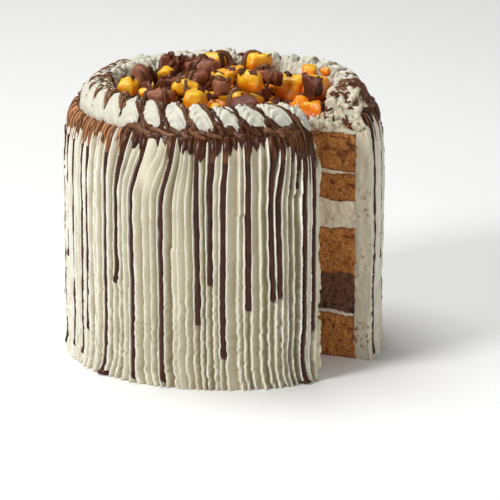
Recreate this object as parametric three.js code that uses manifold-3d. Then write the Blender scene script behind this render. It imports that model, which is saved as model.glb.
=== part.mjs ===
// A tall mango and chocolate layer cake with one slice taken out.
//
// Four sponges with cream, chocolate mousse and mango between them stand inside a coat of whipped
// cream. The coat is combed into upright ridges, and chocolate has run down over them. A ring of
// piped shells stands on the top edge, and mango dice and chocolate chunks are heaped inside it.
//
// Millimetres, +Z up. The origin is on the cake's axis, on the surface that it stands on.
// A turn is an angle in degrees round the axis: 0 faces -Y, 90 faces +X.

import * as THREE from 'three';
import { ConvexGeometry } from 'three/addons/geometries/ConvexGeometry.js';
import { mergeVertices } from 'three/addons/utils/BufferGeometryUtils.js';
import Module from 'manifold-3d';

const wasm = await Module();
wasm.setup();

// Driving dimensions
const CAKE_RADIUS = 100;
const COAT_THICKNESS = 12;
const CAKE_TOP = 150;
const COAT_CEILING = 143.3;
const BORDER_HEIGHT = 20.5;
const GAP = 0.3;

// The slice that was taken out leaves the turns between these two cut faces open
const CUT_NEAR = 36.5;
const CUT_FAR = 66.5;
const FIRST_TURN = CUT_FAR;
const LAST_TURN = CUT_NEAR + 360;
const SPAN = LAST_TURN - FIRST_TURN;

// The coat's outline: radius and height of each level, from the bottom to the ditch's floor
const BASE_FLARE = 2;
const FLARE_HEIGHT = 12;
const WALL_TOP = 130;
const SHOULDER = { r: 97, z: 149 };
const LIP = { r: 90.6, z: 156 };
const DITCH_RADIUS = 89.6;
const COAT_INNER = CAKE_RADIUS - COAT_THICKNESS;

// The comb draws strips of three ridges, with a wider groove between strips
const STRIPS = 46;
const STRIP_GROOVE = 2.4;
const RIDGE_GROOVE = 1.6;
const COMB = [
  { at: 0, depth: STRIP_GROOVE },
  { at: 0.17, depth: 0 },
  { at: 0.315, depth: RIDGE_GROOVE },
  { at: 0.46, depth: 0 },
  { at: 0.605, depth: RIDGE_GROOVE },
  { at: 0.75, depth: 0 },
];

// Chocolate runs: the turn and the height of the lower end of each one on the front
const FRONT_DRIPS = [
  [-69.6, 8], [-61.3, 7], [-57.6, 24], [-46.8, 0], [-41.5, 60], [-34.2, 2], [-22.4, 3], [-9.3, 40],
  [-4.8, 65], [-0.5, 19], [8.4, 49], [16.9, 54], [19.6, 55], [29.2, 0], [33, 32],
];
const DRIP_HALF_WIDTH = 1.2;
const DRIP_RISE = 1.3;
const DRIP_SPACING = 7.6;

// The piped ring
const SHELLS = 31;
const SHELL_INNER = 66.5;
const SHELL_OUTER = 89.2;
const SHELL_LEAN = 6;
const STRAND_RISE = 1.3;

// The sponge core: every layer's top, at the axis and at the rim, and how uneven that surface is
const CORE_RADIUS = COAT_INNER - GAP - 0.1;
const CORE_SEGMENTS = 16;
const LAYERS = [
  { name: 'sponge_base', axis: 26, rim: 28, wave: 0.3, look: 'sponge' },
  { name: 'cream_lower', axis: 30.6, rim: 29.4, wave: 0.3, look: 'cream' },
  { name: 'chocolate_filling', axis: 54, rim: 53, wave: 0.8, look: 'mousse' },
  { name: 'sponge_middle', axis: 84, rim: 83.4, wave: 0.8, look: 'sponge' },
  { name: 'cream_filling', axis: 102, rim: 101.4, wave: 0.9, look: 'cream' },
  { name: 'sponge_upper', axis: 118, rim: 117.2, wave: 0.4, look: 'sponge' },
  { name: 'cream_upper', axis: 120.4, rim: 119.2, wave: 0.4, look: 'cream' },
  { name: 'sponge_top', axis: COAT_CEILING - GAP, rim: COAT_CEILING - GAP, wave: 0, look: 'sponge' },
];

// Mango pieces that the knife cut through in the upper filling: radius, height, size, and how far
// each one reached over the cut before it was trimmed
const FILLING_MANGO = [
  { r: 37, z: 92.6, width: 30, depth: 22, height: 14.5, over: 5 },
  { r: 14.5, z: 93.5, width: 11, depth: 12, height: 9, over: 2 },
];

// The heap: pieces on the cream by the far cut, a bed of pieces by rule, then the crown pieces that
// show. Each piece has its kind, its x and y, and its width, depth and height.
const BESIDE_CUT = [
  ['mango', 55, -19, 18, 15, 11],
  ['mango', 42, 17, 20, 17, 18],
  ['mango', 57, 1, 17, 16, 17],
];
const BED_RADIUS = 57;
const BED_PITCH = 20.5;
const BED_COUNT = 16;
const BED_TOP = 163;
const CROWN_TOP = 177;
const DROP_HEIGHT = 64;
const ATTEMPTS = 24;
const SMALLEST_CUT = 0.55;
const CROWN = [
  ['mango', -7, 58, 21, 17, 14],
  ['mango', 15, 0, 21, 17, 15],
  ['mango', -24, -14, 20, 17, 14],
  ['chocolate', -13, 39, 25, 15, 13],
  ['chocolate', 57, -14, 14, 9, 15],
  ['chocolate', -52, 14, 16, 15, 15],
  ['mango', 22, 57, 19, 16, 13],
  ['chocolate', -38, -30, 24, 14, 10],
  ['mango', -18, -46, 19, 14, 13],
  ['mango', 38, 38, 18, 14, 12],
  ['mango', -61, -2, 14, 12, 12],
  ['mango', 54, 26, 15, 14, 13],
  ['chocolate', -32, 47, 20, 13, 10],
  ['mango', 6, -37, 15, 13, 11],
  ['chocolate', -3, -13, 14, 12, 12],
  ['mango', -38, 28, 15, 13, 11],
  ['mango', -46, -14, 16, 14, 10],
  ['chocolate', 31, 6, 12, 13, 14],
  ['mango', 0, 19, 15, 13, 10],
  ['chocolate', 13, -53, 17, 11, 9],
  ['chocolate', -34, 4, 14, 12, 10],
  ['mango', 27, -51, 15, 13, 19],
  ['chocolate', -19, 16, 13, 12, 10],
  ['mango', 8, 38, 14, 12, 10],
  ['chocolate', 24, 34, 14, 12, 10],
  ['mango', -4, -54, 13, 12, 10],
  ['mango', 63, 13, 13, 12, 12],
];

// Finishes
const LOOKS = {
  cream: { color: 0xe6e2d0, roughness: 0.55 },
  border: { color: 0xe9e5d5, roughness: 0.5 },
  sponge: { color: 0xbe7f42, roughness: 0.9 },
  mousse: { color: 0x694640, roughness: 0.8 },
  mango: { color: 0xf0a61e, roughness: 0.25 },
  chocolate: { color: 0x5c3529, roughness: 0.4 },
};

const cake = new THREE.Group();

function add(name, look, geometry) {
  const material = new THREE.MeshStandardMaterial({ ...LOOKS[look], metalness: 0, flatShading: true });
  const mesh = new THREE.Mesh(geometry, material);
  mesh.name = name;
  cake.add(mesh);
}

// A repeatable stream of numbers between 0 and 1
function stream(seed) {
  let state = seed;
  return () => {
    state = (Math.imul(state, 1664525) + 1013904223) >>> 0;
    return state / 4294967296;
  };
}

function lerp(from, to, share) {
  return from + (to - from) * share;
}

function place(turn, r, z) {
  const angle = THREE.MathUtils.degToRad(turn);
  return [r * Math.sin(angle), -r * Math.cos(angle), z];
}

function turnsOf(count, from = FIRST_TURN, to = LAST_TURN) {
  return Array.from({ length: count + 1 }, (_, i) => lerp(from, to, i / count));
}

// 0 at both cut faces and 1 well away from them
function awayFromCuts(turn, reach) {
  const nearest = Math.min(turn - FIRST_TURN, LAST_TURN - turn);
  return THREE.MathUtils.smoothstep(nearest, 0, reach);
}

// A closed solid swept round the axis between the two cut faces. Each row is one line round the
// cake: its turns, and the radius and height at each of them. The rows follow the outline
// anticlockwise, and a row with a single turn is a point on the axis. Neighbouring rows may have
// different turns: the walk between them always steps to whichever point comes next, and where two
// come together it steps along the wider row, so two surfaces on the same rows never cross.
function swept(rows) {
  const positions = [];
  const lines = rows.map((row) => row.turns.map((turn, i) => {
    const { r, z, shift = 0 } = row.at(turn, i);
    positions.push(...place(turn + shift, r, z));
    return { index: positions.length / 3 - 1, turn, r, z };
  }));
  const faces = [];
  lines.forEach((line, k) => {
    const next = lines[(k + 1) % lines.length];
    let i = 0;
    let j = 0;
    while (i < line.length - 1 || j < next.length - 1) {
      const lineTurn = i < line.length - 1 ? line[i + 1].turn : Infinity;
      const nextTurn = j < next.length - 1 ? next[j + 1].turn : Infinity;
      if (lineTurn < nextTurn || (lineTurn === nextTurn && line[i].r >= next[j].r)) {
        faces.push(line[i].index, line[i + 1].index, next[j].index);
        i += 1;
      } else {
        faces.push(line[i].index, next[j + 1].index, next[j].index);
        j += 1;
      }
    }
  });
  const closeWith = (ends, outward) => {
    const outline = ends.map((end) => new THREE.Vector2(end.r, end.z));
    for (const [a, b, c] of THREE.ShapeUtils.triangulateShape(outline, [])) {
      const corners = outward ? [a, b, c] : [a, c, b];
      faces.push(...corners.map((corner) => ends[corner].index));
    }
  };
  closeWith(lines.map((line) => line[0]), true);
  closeWith(lines.map((line) => line[line.length - 1]), false);
  const geometry = new THREE.BufferGeometry();
  geometry.setAttribute('position', new THREE.Float32BufferAttribute(positions, 3));
  geometry.setIndex(faces);
  return geometry;
}

// Between three.js geometry and a solid that can be cut
function solidOf(geometry) {
  const bare = geometry.clone();
  bare.deleteAttribute('normal');
  bare.deleteAttribute('uv');
  const merged = mergeVertices(bare, 1e-4);
  const mesh = new wasm.Mesh({
    numProp: 3,
    vertProperties: new Float32Array(merged.attributes.position.array),
    triVerts: new Uint32Array(merged.index.array),
  });
  return new wasm.Manifold(mesh);
}

function geometryOf(solid) {
  const mesh = solid.getMesh();
  const geometry = new THREE.BufferGeometry();
  geometry.setAttribute('position', new THREE.BufferAttribute(mesh.vertProperties, 3));
  geometry.setIndex(new THREE.BufferAttribute(mesh.triVerts, 1));
  return geometry;
}

// The open wedge itself, as a tall prism that trims whatever crosses a cut face
function openWedge() {
  const reach = 2 * CAKE_RADIUS;
  const corner = (turn) => new THREE.Vector2(...place(turn, reach, 0).slice(0, 2));
  const outline = new THREE.Shape([new THREE.Vector2(0, 0), corner(CUT_NEAR), corner(CUT_FAR)]);
  const prism = new THREE.ExtrudeGeometry(outline, { depth: 2 * CAKE_TOP, bevelEnabled: false });
  return solidOf(prism.translate(0, 0, -10));
}

// Layers
// The surface between two layers: it falls or rises from the axis to the rim and waves a little.
function levelAt(layer, r, turn) {
  const slope = lerp(layer.axis, layer.rim, r / CORE_RADIUS);
  const spread = Math.min(1, r / 20);
  return slope + layer.wave * spread * Math.sin(0.13 * r + 0.09 * turn + layer.axis);
}

function layerGeometry(below, layer) {
  const turns = turnsOf(CORE_SEGMENTS);
  const radii = [0, 0.25, 0.5, 0.75, 1].map((share) => share * CORE_RADIUS);
  const rowAt = (surface, r, offset) => ({
    turns: r === 0 ? [FIRST_TURN] : turns,
    at: (turn) => ({ r, z: surface ? levelAt(surface, r, turn) + offset : 0 }),
  });
  const bottom = radii.map((r) => rowAt(below, r, GAP / 2));
  const top = radii.toReversed().map((r) => rowAt(layer, r, -GAP / 2));
  return swept([...bottom, ...top]);
}

// Chunks of mango and chocolate
// A box with each corner cut back along two of its edges, so no two chunks are alike.
function chunk(random, width, depth, height, keep) {
  const points = [];
  for (const sx of [-1, 1]) {
    for (const sy of [-1, 1]) {
      for (const sz of [-1, 1]) {
        const corner = new THREE.Vector3(sx * width, sy * depth, sz * height);
        corner.multiplyScalar(0.5 * (1.04 - 0.1 * random()));
        const whole = Math.floor(3 * random());
        for (const step of [1, 2]) {
          const cut = corner.clone();
          const axis = (whole + step) % 3;
          cut.setComponent(axis, cut.getComponent(axis) * (keep - 0.12 * random()));
          points.push(cut);
        }
      }
    }
  }
  return points;
}

function turned(points, yaw, tiltX, tiltY) {
  const rotation = new THREE.Euler(tiltX, tiltY, yaw, 'ZYX');
  return points.map((point) => point.clone().applyEuler(rotation));
}

function moved(points, x, y, z) {
  const offset = new THREE.Vector3(x, y, z);
  return points.map((point) => point.clone().add(offset));
}

// The same chunk grown so that it clears the first one by the gap between neighbours
function grown(points, clearance) {
  const smallest = Math.min(...points.map((point) => point.length()));
  const scale = 1 + 2 * clearance / smallest;
  return points.map((point) => point.clone().multiplyScalar(scale));
}

function hull(points) {
  return solidOf(new ConvexGeometry(points));
}

function addLayers(wedge) {
  const random = stream(11);
  const mangoes = [];
  let pockets = null;
  for (const [side, turn, inward] of [['far', CUT_FAR, 1], ['near', CUT_NEAR, -1]]) {
    const radians = THREE.MathUtils.degToRad(turn);
    FILLING_MANGO.forEach((piece, i) => {
      const points = turned(
        chunk(random, piece.width, piece.depth, piece.height, 0.72),
        radians - Math.PI / 2, 0, 0,
      );
      const back = inward * (piece.depth / 2 - piece.over);
      const onCut = place(turn, piece.r, piece.z);
      const centre = [onCut[0] + back * Math.cos(radians), onCut[1] + back * Math.sin(radians), piece.z];
      mangoes.push([`filling_mango_${side}_${i + 1}`, hull(moved(points, ...centre)).subtract(wedge)]);
      const pocket = hull(moved(grown(points, GAP), ...centre));
      pockets = pockets ? pockets.add(pocket) : pocket;
    });
  }
  LAYERS.forEach((layer, k) => {
    let geometry = layerGeometry(LAYERS[k - 1], layer);
    if (layer.name === 'cream_filling') {
      geometry = geometryOf(solidOf(geometry).subtract(pockets));
    }
    add(layer.name, layer.look, geometry);
  });
  for (const [name, solid] of mangoes) {
    add(name, 'mango', geometryOf(solid));
  }
}

// Cream coat
// Every upright line of the combed wall: its turn, how deep it lies, and the drip that runs on it.
function combedColumns() {
  const columns = [];
  const pitch = SPAN / STRIPS;
  for (let strip = 0; strip < STRIPS; strip += 1) {
    for (const { at, depth } of COMB) {
      columns.push({ turn: FIRST_TURN + (strip + at) * pitch, depth, strip });
    }
  }
  columns.push({ turn: LAST_TURN, depth: STRIP_GROOVE, strip: STRIPS });
  return withDrips(columns);
}

// The front drips, and more of them all the way round at about the same spacing
function dripPlan() {
  const random = stream(5);
  const drips = FRONT_DRIPS.map(([turn, end]) => ({ turn: turn + 360, end }));
  const firstFront = Math.min(...drips.map((drip) => drip.turn));
  const lengths = [0, 58, 22, 74, 5, 40, 30];
  let turn = FIRST_TURN + 3;
  let k = 0;
  while (turn < firstFront - 5) {
    drips.push({ turn, end: lengths[k % lengths.length] + 8 * random() });
    turn += DRIP_SPACING * (0.75 + 0.5 * random());
    k += 1;
  }
  return drips;
}

// Each drip takes the nearest ridge that is still free: one line along its crest, one each side.
function withDrips(columns) {
  const halfWidth = THREE.MathUtils.radToDeg(DRIP_HALF_WIDTH / CAKE_RADIUS);
  for (const { turn, end } of dripPlan()) {
    const free = columns.filter((column) => column.depth === 0 && column.end === undefined);
    const crest = free.reduce((best, column) => (
      Math.abs(column.turn - turn) < Math.abs(best.turn - turn) ? column : best));
    crest.end = end;
    crest.rise = DRIP_RISE;
    for (const side of [-1, 1]) {
      columns.push({
        turn: crest.turn + side * halfWidth,
        depth: 0.65 * RIDGE_GROOVE,
        strip: crest.strip,
        end,
        rise: 0.65 * RIDGE_GROOVE + 0.4 * DRIP_RISE,
      });
    }
  }
  return columns.sort((a, b) => a.turn - b.turn);
}

function creamCoat() {
  const columns = combedColumns();
  const turns = columns.map((column) => column.turn);
  // The cream sagged where the knife went in, on the near side most of all
  const sagAt = (turn) => 1 - THREE.MathUtils.smoothstep(LAST_TURN - turn, 0, 6);
  const rowAt = (level) => ({ turns, at: (turn, i) => level(columns[i], turn) });
  const raised = (column) => (column.end === undefined ? 0 : column.rise);
  const reachesFloor = (column) => column.end !== undefined && column.end < FLARE_HEIGHT + 4;
  const wall = (column, z, rise) => ({
    r: CAKE_RADIUS - column.depth + rise + (z > 0 ? 0.25 * Math.sin(2.1 * column.strip) : 0),
    z,
    shift: 0.1 * awayFromCuts(column.turn, 8) * Math.sin(0.05 * z + column.strip),
  });
  const foot = (column) => wall(column, 0, BASE_FLARE);
  const flare = (column) => wall(column, FLARE_HEIGHT, reachesFloor(column) ? raised(column) : 0);
  const belowDrip = (column) => {
    const runsOn = column.end === undefined || reachesFloor(column);
    return wall(column, runsOn ? 52 : column.end - 2.5, reachesFloor(column) ? raised(column) : 0);
  };
  const dripEnd = (column) => {
    const runsOn = column.end === undefined || reachesFloor(column);
    return wall(column, runsOn ? 92 : column.end, raised(column));
  };
  const wallTop = (column) => wall(column, WALL_TOP, raised(column));
  const shoulder = (column, turn) => ({
    r: SHOULDER.r - 0.8 * column.depth + raised(column) - 2.5 * sagAt(turn),
    z: SHOULDER.z - 5 * sagAt(turn),
  });
  const lip = (column, turn) => ({
    r: LIP.r,
    z: LIP.z - 0.5 * column.depth + 0.3 * Math.sin(1.7 * column.strip) - 4.5 * sagAt(turn),
  });
  const ditch = () => ({ r: DITCH_RADIUS, z: CAKE_TOP });
  const inner = turnsOf(CORE_SEGMENTS);
  return swept([
    rowAt(foot), rowAt(flare), rowAt(belowDrip), rowAt(dripEnd), rowAt(wallTop),
    rowAt(shoulder), rowAt(lip), rowAt(ditch),
    { turns: [FIRST_TURN], at: () => ({ r: 0, z: CAKE_TOP }) },
    { turns: [FIRST_TURN], at: () => ({ r: 0, z: COAT_CEILING }) },
    { turns: inner, at: () => ({ r: COAT_INNER, z: COAT_CEILING }) },
    { turns: inner, at: () => ({ r: COAT_INNER, z: 0 }) },
  ]);
}

// Piped border
// One shell swells quickly and tails off slowly. A bundle of chocolate strands lies in each valley.
const SHELL_COLUMNS = [
  { phase: 0, size: 0.8, strand: 1 },
  { phase: 0.1, size: 0.78, strand: 0 },
  { phase: 0.24, size: 0.96, strand: 0 },
  { phase: 0.42, size: 1.02, strand: 0 },
  { phase: 0.6, size: 1, strand: 0 },
  { phase: 0.78, size: 0.92, strand: 0 },
  { phase: 0.91, size: 0.78, strand: 0 },
];
// The section, from the outer foot over the crest to the inner foot: every other line is a groove
// that the piping nozzle's star left.
const SHELL_SECTION = [
  { angle: 4, size: 1 },
  { angle: 32, size: 1.04 },
  { angle: 58, size: 0.93 },
  { angle: 84, size: 1.05 },
  { angle: 110, size: 0.94 },
  { angle: 140, size: 1.05 },
  { angle: 176, size: 1 },
];

function pipedBorder() {
  const random = stream(29);
  const pitch = SPAN / SHELLS;
  const columns = [];
  for (let shell = 0; shell < SHELLS; shell += 1) {
    const own = 0.95 + 0.1 * random();
    for (const { phase, size, strand } of SHELL_COLUMNS) {
      columns.push({ turn: FIRST_TURN + (shell + phase) * pitch, size: size * own, strand });
    }
  }
  columns.push({ turn: LAST_TURN, size: 0.8, strand: 0 });
  const turns = columns.map((column) => column.turn);
  const bottom = CAKE_TOP + GAP;
  const middle = (SHELL_INNER + SHELL_OUTER) / 2;
  const halfWidth = (SHELL_OUTER - SHELL_INNER) / 2;
  const torn = (turn) => 1 - THREE.MathUtils.smoothstep(turn - FIRST_TURN, 0, 8);
  const sagged = (turn) => 1 - THREE.MathUtils.smoothstep(LAST_TURN - turn, 0, 9);
  const leanAt = (turn, across) => SHELL_LEAN * (across - 0.5) * awayFromCuts(turn, pitch);
  const footAt = (r, across) => ({
    turns,
    at: (turn) => ({ r, z: bottom, shift: leanAt(turn, across) }),
  });
  const arcAt = ({ angle, size }) => {
    const radians = THREE.MathUtils.degToRad(angle);
    const across = (1 + Math.cos(radians)) / 2;
    return {
      turns,
      at: (turn, i) => {
        const { size: swell, strand } = columns[i];
        const rise = BORDER_HEIGHT * size * swell * (1 - 0.4 * torn(turn) - 0.32 * sagged(turn));
        const reach = Math.min(1, 0.96 * size) * (0.86 + 0.14 * swell);
        return {
          r: middle + halfWidth * reach * Math.cos(radians),
          z: bottom + 1.5 + (rise - 1.5) * Math.sin(radians) ** 0.8 + STRAND_RISE * strand * Math.sin(radians),
          shift: leanAt(turn, across),
        };
      },
    };
  };
  return swept([
    footAt(SHELL_INNER + 0.6, 0),
    footAt(SHELL_OUTER - 0.6, 1),
    ...SHELL_SECTION.map(arcAt),
  ]);
}

// Heap
// The height at which a piece that comes straight down at x and y, with its clearance round it,
// would touch what is already there.
function restHeight(points, x, y, others) {
  const wide = grown(points, GAP);
  const reach = Math.max(...wide.map((point) => point.length()));
  const near = others.filter((other) => {
    const { min, max } = other.boundingBox();
    return min[0] < x + reach && max[0] > x - reach && min[1] < y + reach && max[1] > y - reach;
  });
  const blank = hull(wide);
  const isFree = (z) => near.every((other) => blank.translate([x, y, z]).intersect(other).isEmpty());
  const floor = CAKE_TOP + GAP - Math.min(...points.map((point) => point.z));
  let height = CAKE_TOP + DROP_HEIGHT;
  for (let step = 4; step > 0.05; step /= 2) {
    while (height - step >= floor && isFree(height - step)) {
      height -= step;
    }
  }
  return height;
}

// A piece is nudged and turned a little, and stays where it comes down lowest. One that would
// stand above the heap's top is cut smaller and tried again.
function settled(random, raw, x, y, manner, others) {
  let best = null;
  for (let scale = 1; scale >= SMALLEST_CUT; scale -= 0.09) {
    const cut = raw.map((point) => point.clone().multiplyScalar(scale));
    best = null;
    for (let attempt = 0; attempt < ATTEMPTS; attempt += 1) {
      const tilts = [manner.tilt * (random() - 0.5), manner.tilt * (random() - 0.5)];
      const points = turned(cut, 6.28 * random(), ...tilts);
      const tryX = x + manner.freedom * (random() - 0.5);
      const tryY = y + manner.freedom * (random() - 0.5);
      const z = restHeight(points, tryX, tryY, others);
      const top = z + Math.max(...points.map((point) => point.z));
      if (!best || top < best.top) {
        best = { points, x: tryX, y: tryY, z, top };
      }
    }
    if (best.top < manner.top) {
      break;
    }
  }
  return moved(best.points, best.x, best.y, best.z);
}

function addHeap(wedge, border) {
  const random = stream(83);
  const solids = [border];
  const counts = { mango: 0, chocolate: 0 };
  const lay = (manner, kind, x, y, ...size) => {
    const raw = chunk(random, ...size, kind === 'mango' ? 0.62 : 0.7);
    const solid = hull(settled(random, raw, x, y, manner, solids)).subtract(wedge);
    solids.push(solid);
    counts[kind] += 1;
    add(`${kind}_${String(counts[kind]).padStart(2, '0')}`, kind, geometryOf(solid));
  };
  for (const piece of BESIDE_CUT) {
    lay({ freedom: 3, tilt: 0.15, top: CROWN_TOP }, ...piece);
  }
  bedPlaces().forEach(([x, y], i) => {
    const size = [18 + 2 * random(), 15.5 + 2 * random(), 10 + 1.5 * random()];
    lay({ freedom: 6, tilt: 0.15, top: BED_TOP }, i % 5 === 2 ? 'chocolate' : 'mango', x, y, ...size);
  });
  for (const piece of CROWN) {
    lay({ freedom: 5, tilt: 0.4, top: CROWN_TOP }, ...piece);
  }
}

// Places for the bed: a honeycomb of points, those nearest the axis first, clear of the wedge and
// of the pieces beside the far cut
function bedPlaces() {
  const places = [];
  const rowStep = BED_PITCH * Math.sqrt(3) / 2;
  for (let row = -3; row <= 3; row += 1) {
    for (let column = -3; column <= 3; column += 1) {
      const x = (column + (row % 2 === 0 ? 0 : 0.5)) * BED_PITCH - 4;
      const y = row * rowStep + 6;
      const r = Math.hypot(x, y);
      const turn = THREE.MathUtils.radToDeg(Math.atan2(x, -y));
      const inWedge = turn > CUT_NEAR - 14 && turn < CUT_FAR + 12;
      const besideCut = x > 22 && y < 30 && turn > CUT_FAR && r > 25;
      if (r < BED_RADIUS && !inWedge && !besideCut) {
        places.push([x, y, r]);
      }
    }
  }
  return places.sort((a, b) => a[2] - b[2]).slice(0, BED_COUNT);
}

const wedge = openWedge();
addLayers(wedge);
add('cream_coat', 'cream', creamCoat());
const border = pipedBorder();
add('piped_border', 'border', border);
addHeap(wedge, solidOf(border));

export default cake;
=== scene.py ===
# %% [markdown]
# # A mango and chocolate layer cake
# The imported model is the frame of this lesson: every solid of the cake at its real place. The
# surfaces that a real cake has, such as combed cream, set chocolate and open crumb, are worked out
# round it with numpy. Such shapes are formulas, a radius that depends on a turn and a height, or a
# tube that follows a path, so arrays make them exactly and the same way on each run.

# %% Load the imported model
import math

import bpy
import numpy as np
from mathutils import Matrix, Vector


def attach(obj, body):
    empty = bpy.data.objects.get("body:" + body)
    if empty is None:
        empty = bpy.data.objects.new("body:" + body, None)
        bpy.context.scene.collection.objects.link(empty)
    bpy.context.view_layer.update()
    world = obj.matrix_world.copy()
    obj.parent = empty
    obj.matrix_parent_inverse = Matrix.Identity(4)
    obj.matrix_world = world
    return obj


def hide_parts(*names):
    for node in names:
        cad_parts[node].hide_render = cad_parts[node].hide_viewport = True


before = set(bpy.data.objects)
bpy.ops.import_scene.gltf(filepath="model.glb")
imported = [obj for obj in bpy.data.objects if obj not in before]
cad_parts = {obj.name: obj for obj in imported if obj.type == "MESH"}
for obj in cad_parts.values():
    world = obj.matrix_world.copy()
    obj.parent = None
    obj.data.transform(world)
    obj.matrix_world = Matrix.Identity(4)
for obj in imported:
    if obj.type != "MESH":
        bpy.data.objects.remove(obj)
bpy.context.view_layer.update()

print("solids in the frame:", len(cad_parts))

# %% [markdown]
# ## The camera
# The photograph was taken from far away with a long lens, about 15 degrees above level. From so
# far away the cake's sides look almost parallel. The camera is set up first, so that every later
# step can be looked at from the same place.

# %% Camera
MM = 0.001
CAMERA_DISTANCE = 2.25       # in metres
CAMERA_ELEVATION = math.radians(15.2)
FOCAL_PIXELS = 3600
FRAME_PIXELS = 500
AIM_HEIGHT = 0.085           # in metres, on the cake's axis
AXIS_PIXEL = (224, 212)      # where the picture shows that point

rise, run = math.sin(CAMERA_ELEVATION), math.cos(CAMERA_ELEVATION)
forward = Vector((0, run, -rise))
upward = Vector((0, rise, run))
aim = forward + Vector((1, 0, 0)) * (FRAME_PIXELS / 2 - AXIS_PIXEL[0]) / FOCAL_PIXELS
aim -= upward * (FRAME_PIXELS / 2 - AXIS_PIXEL[1]) / FOCAL_PIXELS
camera = bpy.data.objects.new("camera", bpy.data.cameras.new("camera"))
bpy.context.scene.collection.objects.link(camera)
camera.data.sensor_width = 36
camera.data.lens = FOCAL_PIXELS / FRAME_PIXELS * camera.data.sensor_width
camera.data.clip_start, camera.data.clip_end = 0.1, 20
camera.location = Vector((0, 0, AIM_HEIGHT)) - forward * CAMERA_DISTANCE
camera.rotation_euler = aim.to_track_quat("-Z", "Y").to_euler()
bpy.context.scene.camera = camera
print("lens:", round(camera.data.lens, 1), "mm")

# %% [markdown]
# ## Tools for surfaces
# Lengths here are millimetres and are turned into metres when a mesh is made. A turn is an angle
# in degrees round the cake's axis: 0 faces -Y, 90 faces +X, and a wedge is open between the two
# cut faces. Random bumps come from one small noise function, so nothing needs a seed of Blender's
# own, and a finish made elsewhere would look the same.

# %% Places and noise
FIRST_TURN, LAST_TURN = 66.5, 396.5
SPAN = LAST_TURN - FIRST_TURN
CAKE_RADIUS, CAKE_TOP = 100.0, 150.0
HASH_PRIMES = (73856093, 19349663, 83492791)


def on_turn(turn, r, z):
    """The point r from the axis at a turn: x is r times its sine, y is minus r times its cosine."""
    turn, r, z = np.broadcast_arrays(np.radians(turn), r, z)
    return np.stack([r * np.sin(turn), -r * np.cos(turn), z], axis=-1)


def bumps(size, seed, *coordinates):
    """Soft random bumps from -1 to 1. Every corner of a lattice of cells `size` wide has a random
    height, and the heights are blended across a cell with the smooth step 3t^2 - 2t^3."""
    scaled = np.stack(np.broadcast_arrays(*coordinates), axis=-1) / size
    base = np.floor(scaled).astype(np.int64)
    blend = scaled - base
    blend = blend * blend * (3 - 2 * blend)
    total = np.zeros(scaled.shape[:-1])
    for corner in np.ndindex(*(2,) * len(coordinates)):
        mixed = np.full(total.shape, seed * 40503 + 7, dtype=np.int64)
        weight = np.ones(total.shape)
        for axis, step in enumerate(corner):
            mixed ^= (base[..., axis] + step) * HASH_PRIMES[axis]
            weight *= blend[..., axis] if step else 1 - blend[..., axis]
        mixed = ((mixed ^ (mixed >> 13)) * 1274126177) & 0xFFFFFFFF
        mixed = mixed ^ (mixed >> 15)
        total += weight * ((mixed & 0xFFFF) / 32767.5 - 1)
    return total


def smooth(value, low, high):
    """The smooth step from 0 at `low` to 1 at `high`."""
    t = np.clip((value - low) / (high - low), 0, 1)
    return t * t * (3 - 2 * t)


def out_of_face(cut):
    """The direction that leads out of a cut face, into the open wedge."""
    return on_turn(cut + (90 if cut == LAST_TURN else -90), 1.0, 0.0)


def as_turn(length):
    """A length along the wall in millimetres, as degrees round the axis."""
    return np.degrees(length / CAKE_RADIUS)


def xyz(points):
    """The three coordinates of points, as arrays of their own."""
    return np.moveaxis(points, -1, 0)


print("noise at three places:", bumps(4, 1, np.array([0.0, 9.0, 21.0])).round(2))

# %% [markdown]
# A mesh is a list of points and a list of faces that name points by their numbers. A face looks to
# the side from which its points run anticlockwise, and a solid is closed when every edge has two
# faces. Three patterns of faces are enough for most of the cake: an open grid, a tube with both
# ends shut, and a block.

# %% Faces of grids, shells and blocks
def grid_faces(index):
    """Four-sided faces of a grid of point numbers. They look outwards when the first direction
    crossed with the second one does."""
    corners = [index[:-1, :-1], index[1:, :-1], index[1:, 1:], index[:-1, 1:]]
    return np.stack(corners, axis=-1).reshape(-1, 4)


def shell_faces(along, around, start=0):
    """A closed tube: `along` rings of `around` points, with both ends closed by one face each."""
    index = np.arange(along * around).reshape(along, around) + start
    sides = grid_faces(np.concatenate([index, index[:, :1]], axis=1))
    return [sides, index[:1], index[-1:, ::-1]]


def joined(groups):
    """The faces of many forms as one list, each kind together, such as all sides and all ends."""
    return [np.concatenate(kind) for kind in zip(*groups)]


def block(points):
    """A closed solid from a lattice of points whose three directions are right-handed: its six
    outer sides are grids, and points that no side uses are left out."""
    index = np.arange(points[..., 0].size).reshape(points.shape[:3])
    sides = []
    for axis in range(3):
        layers = index.transpose(axis, (axis + 1) % 3, (axis + 2) % 3)
        sides.append(grid_faces(layers[-1]))
        sides.append(grid_faces(layers[0])[:, ::-1])
    faces = np.concatenate(sides)
    used, faces = np.unique(faces, return_inverse=True)
    return points.reshape(-1, 3)[used], [faces.reshape(-1, 4)], used


print("a closed box has", len(block(np.zeros((2, 2, 2, 3)))[1][0]), "faces")

# %% [markdown]
# A finished piece is a mesh with its material, its body and the solids that it stands for. Blender
# can fill a mesh in one call for all points and one for all faces, which is much faster than one
# point at a time. Its object stays at the origin, so Object coordinates are the cake's own.

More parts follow.
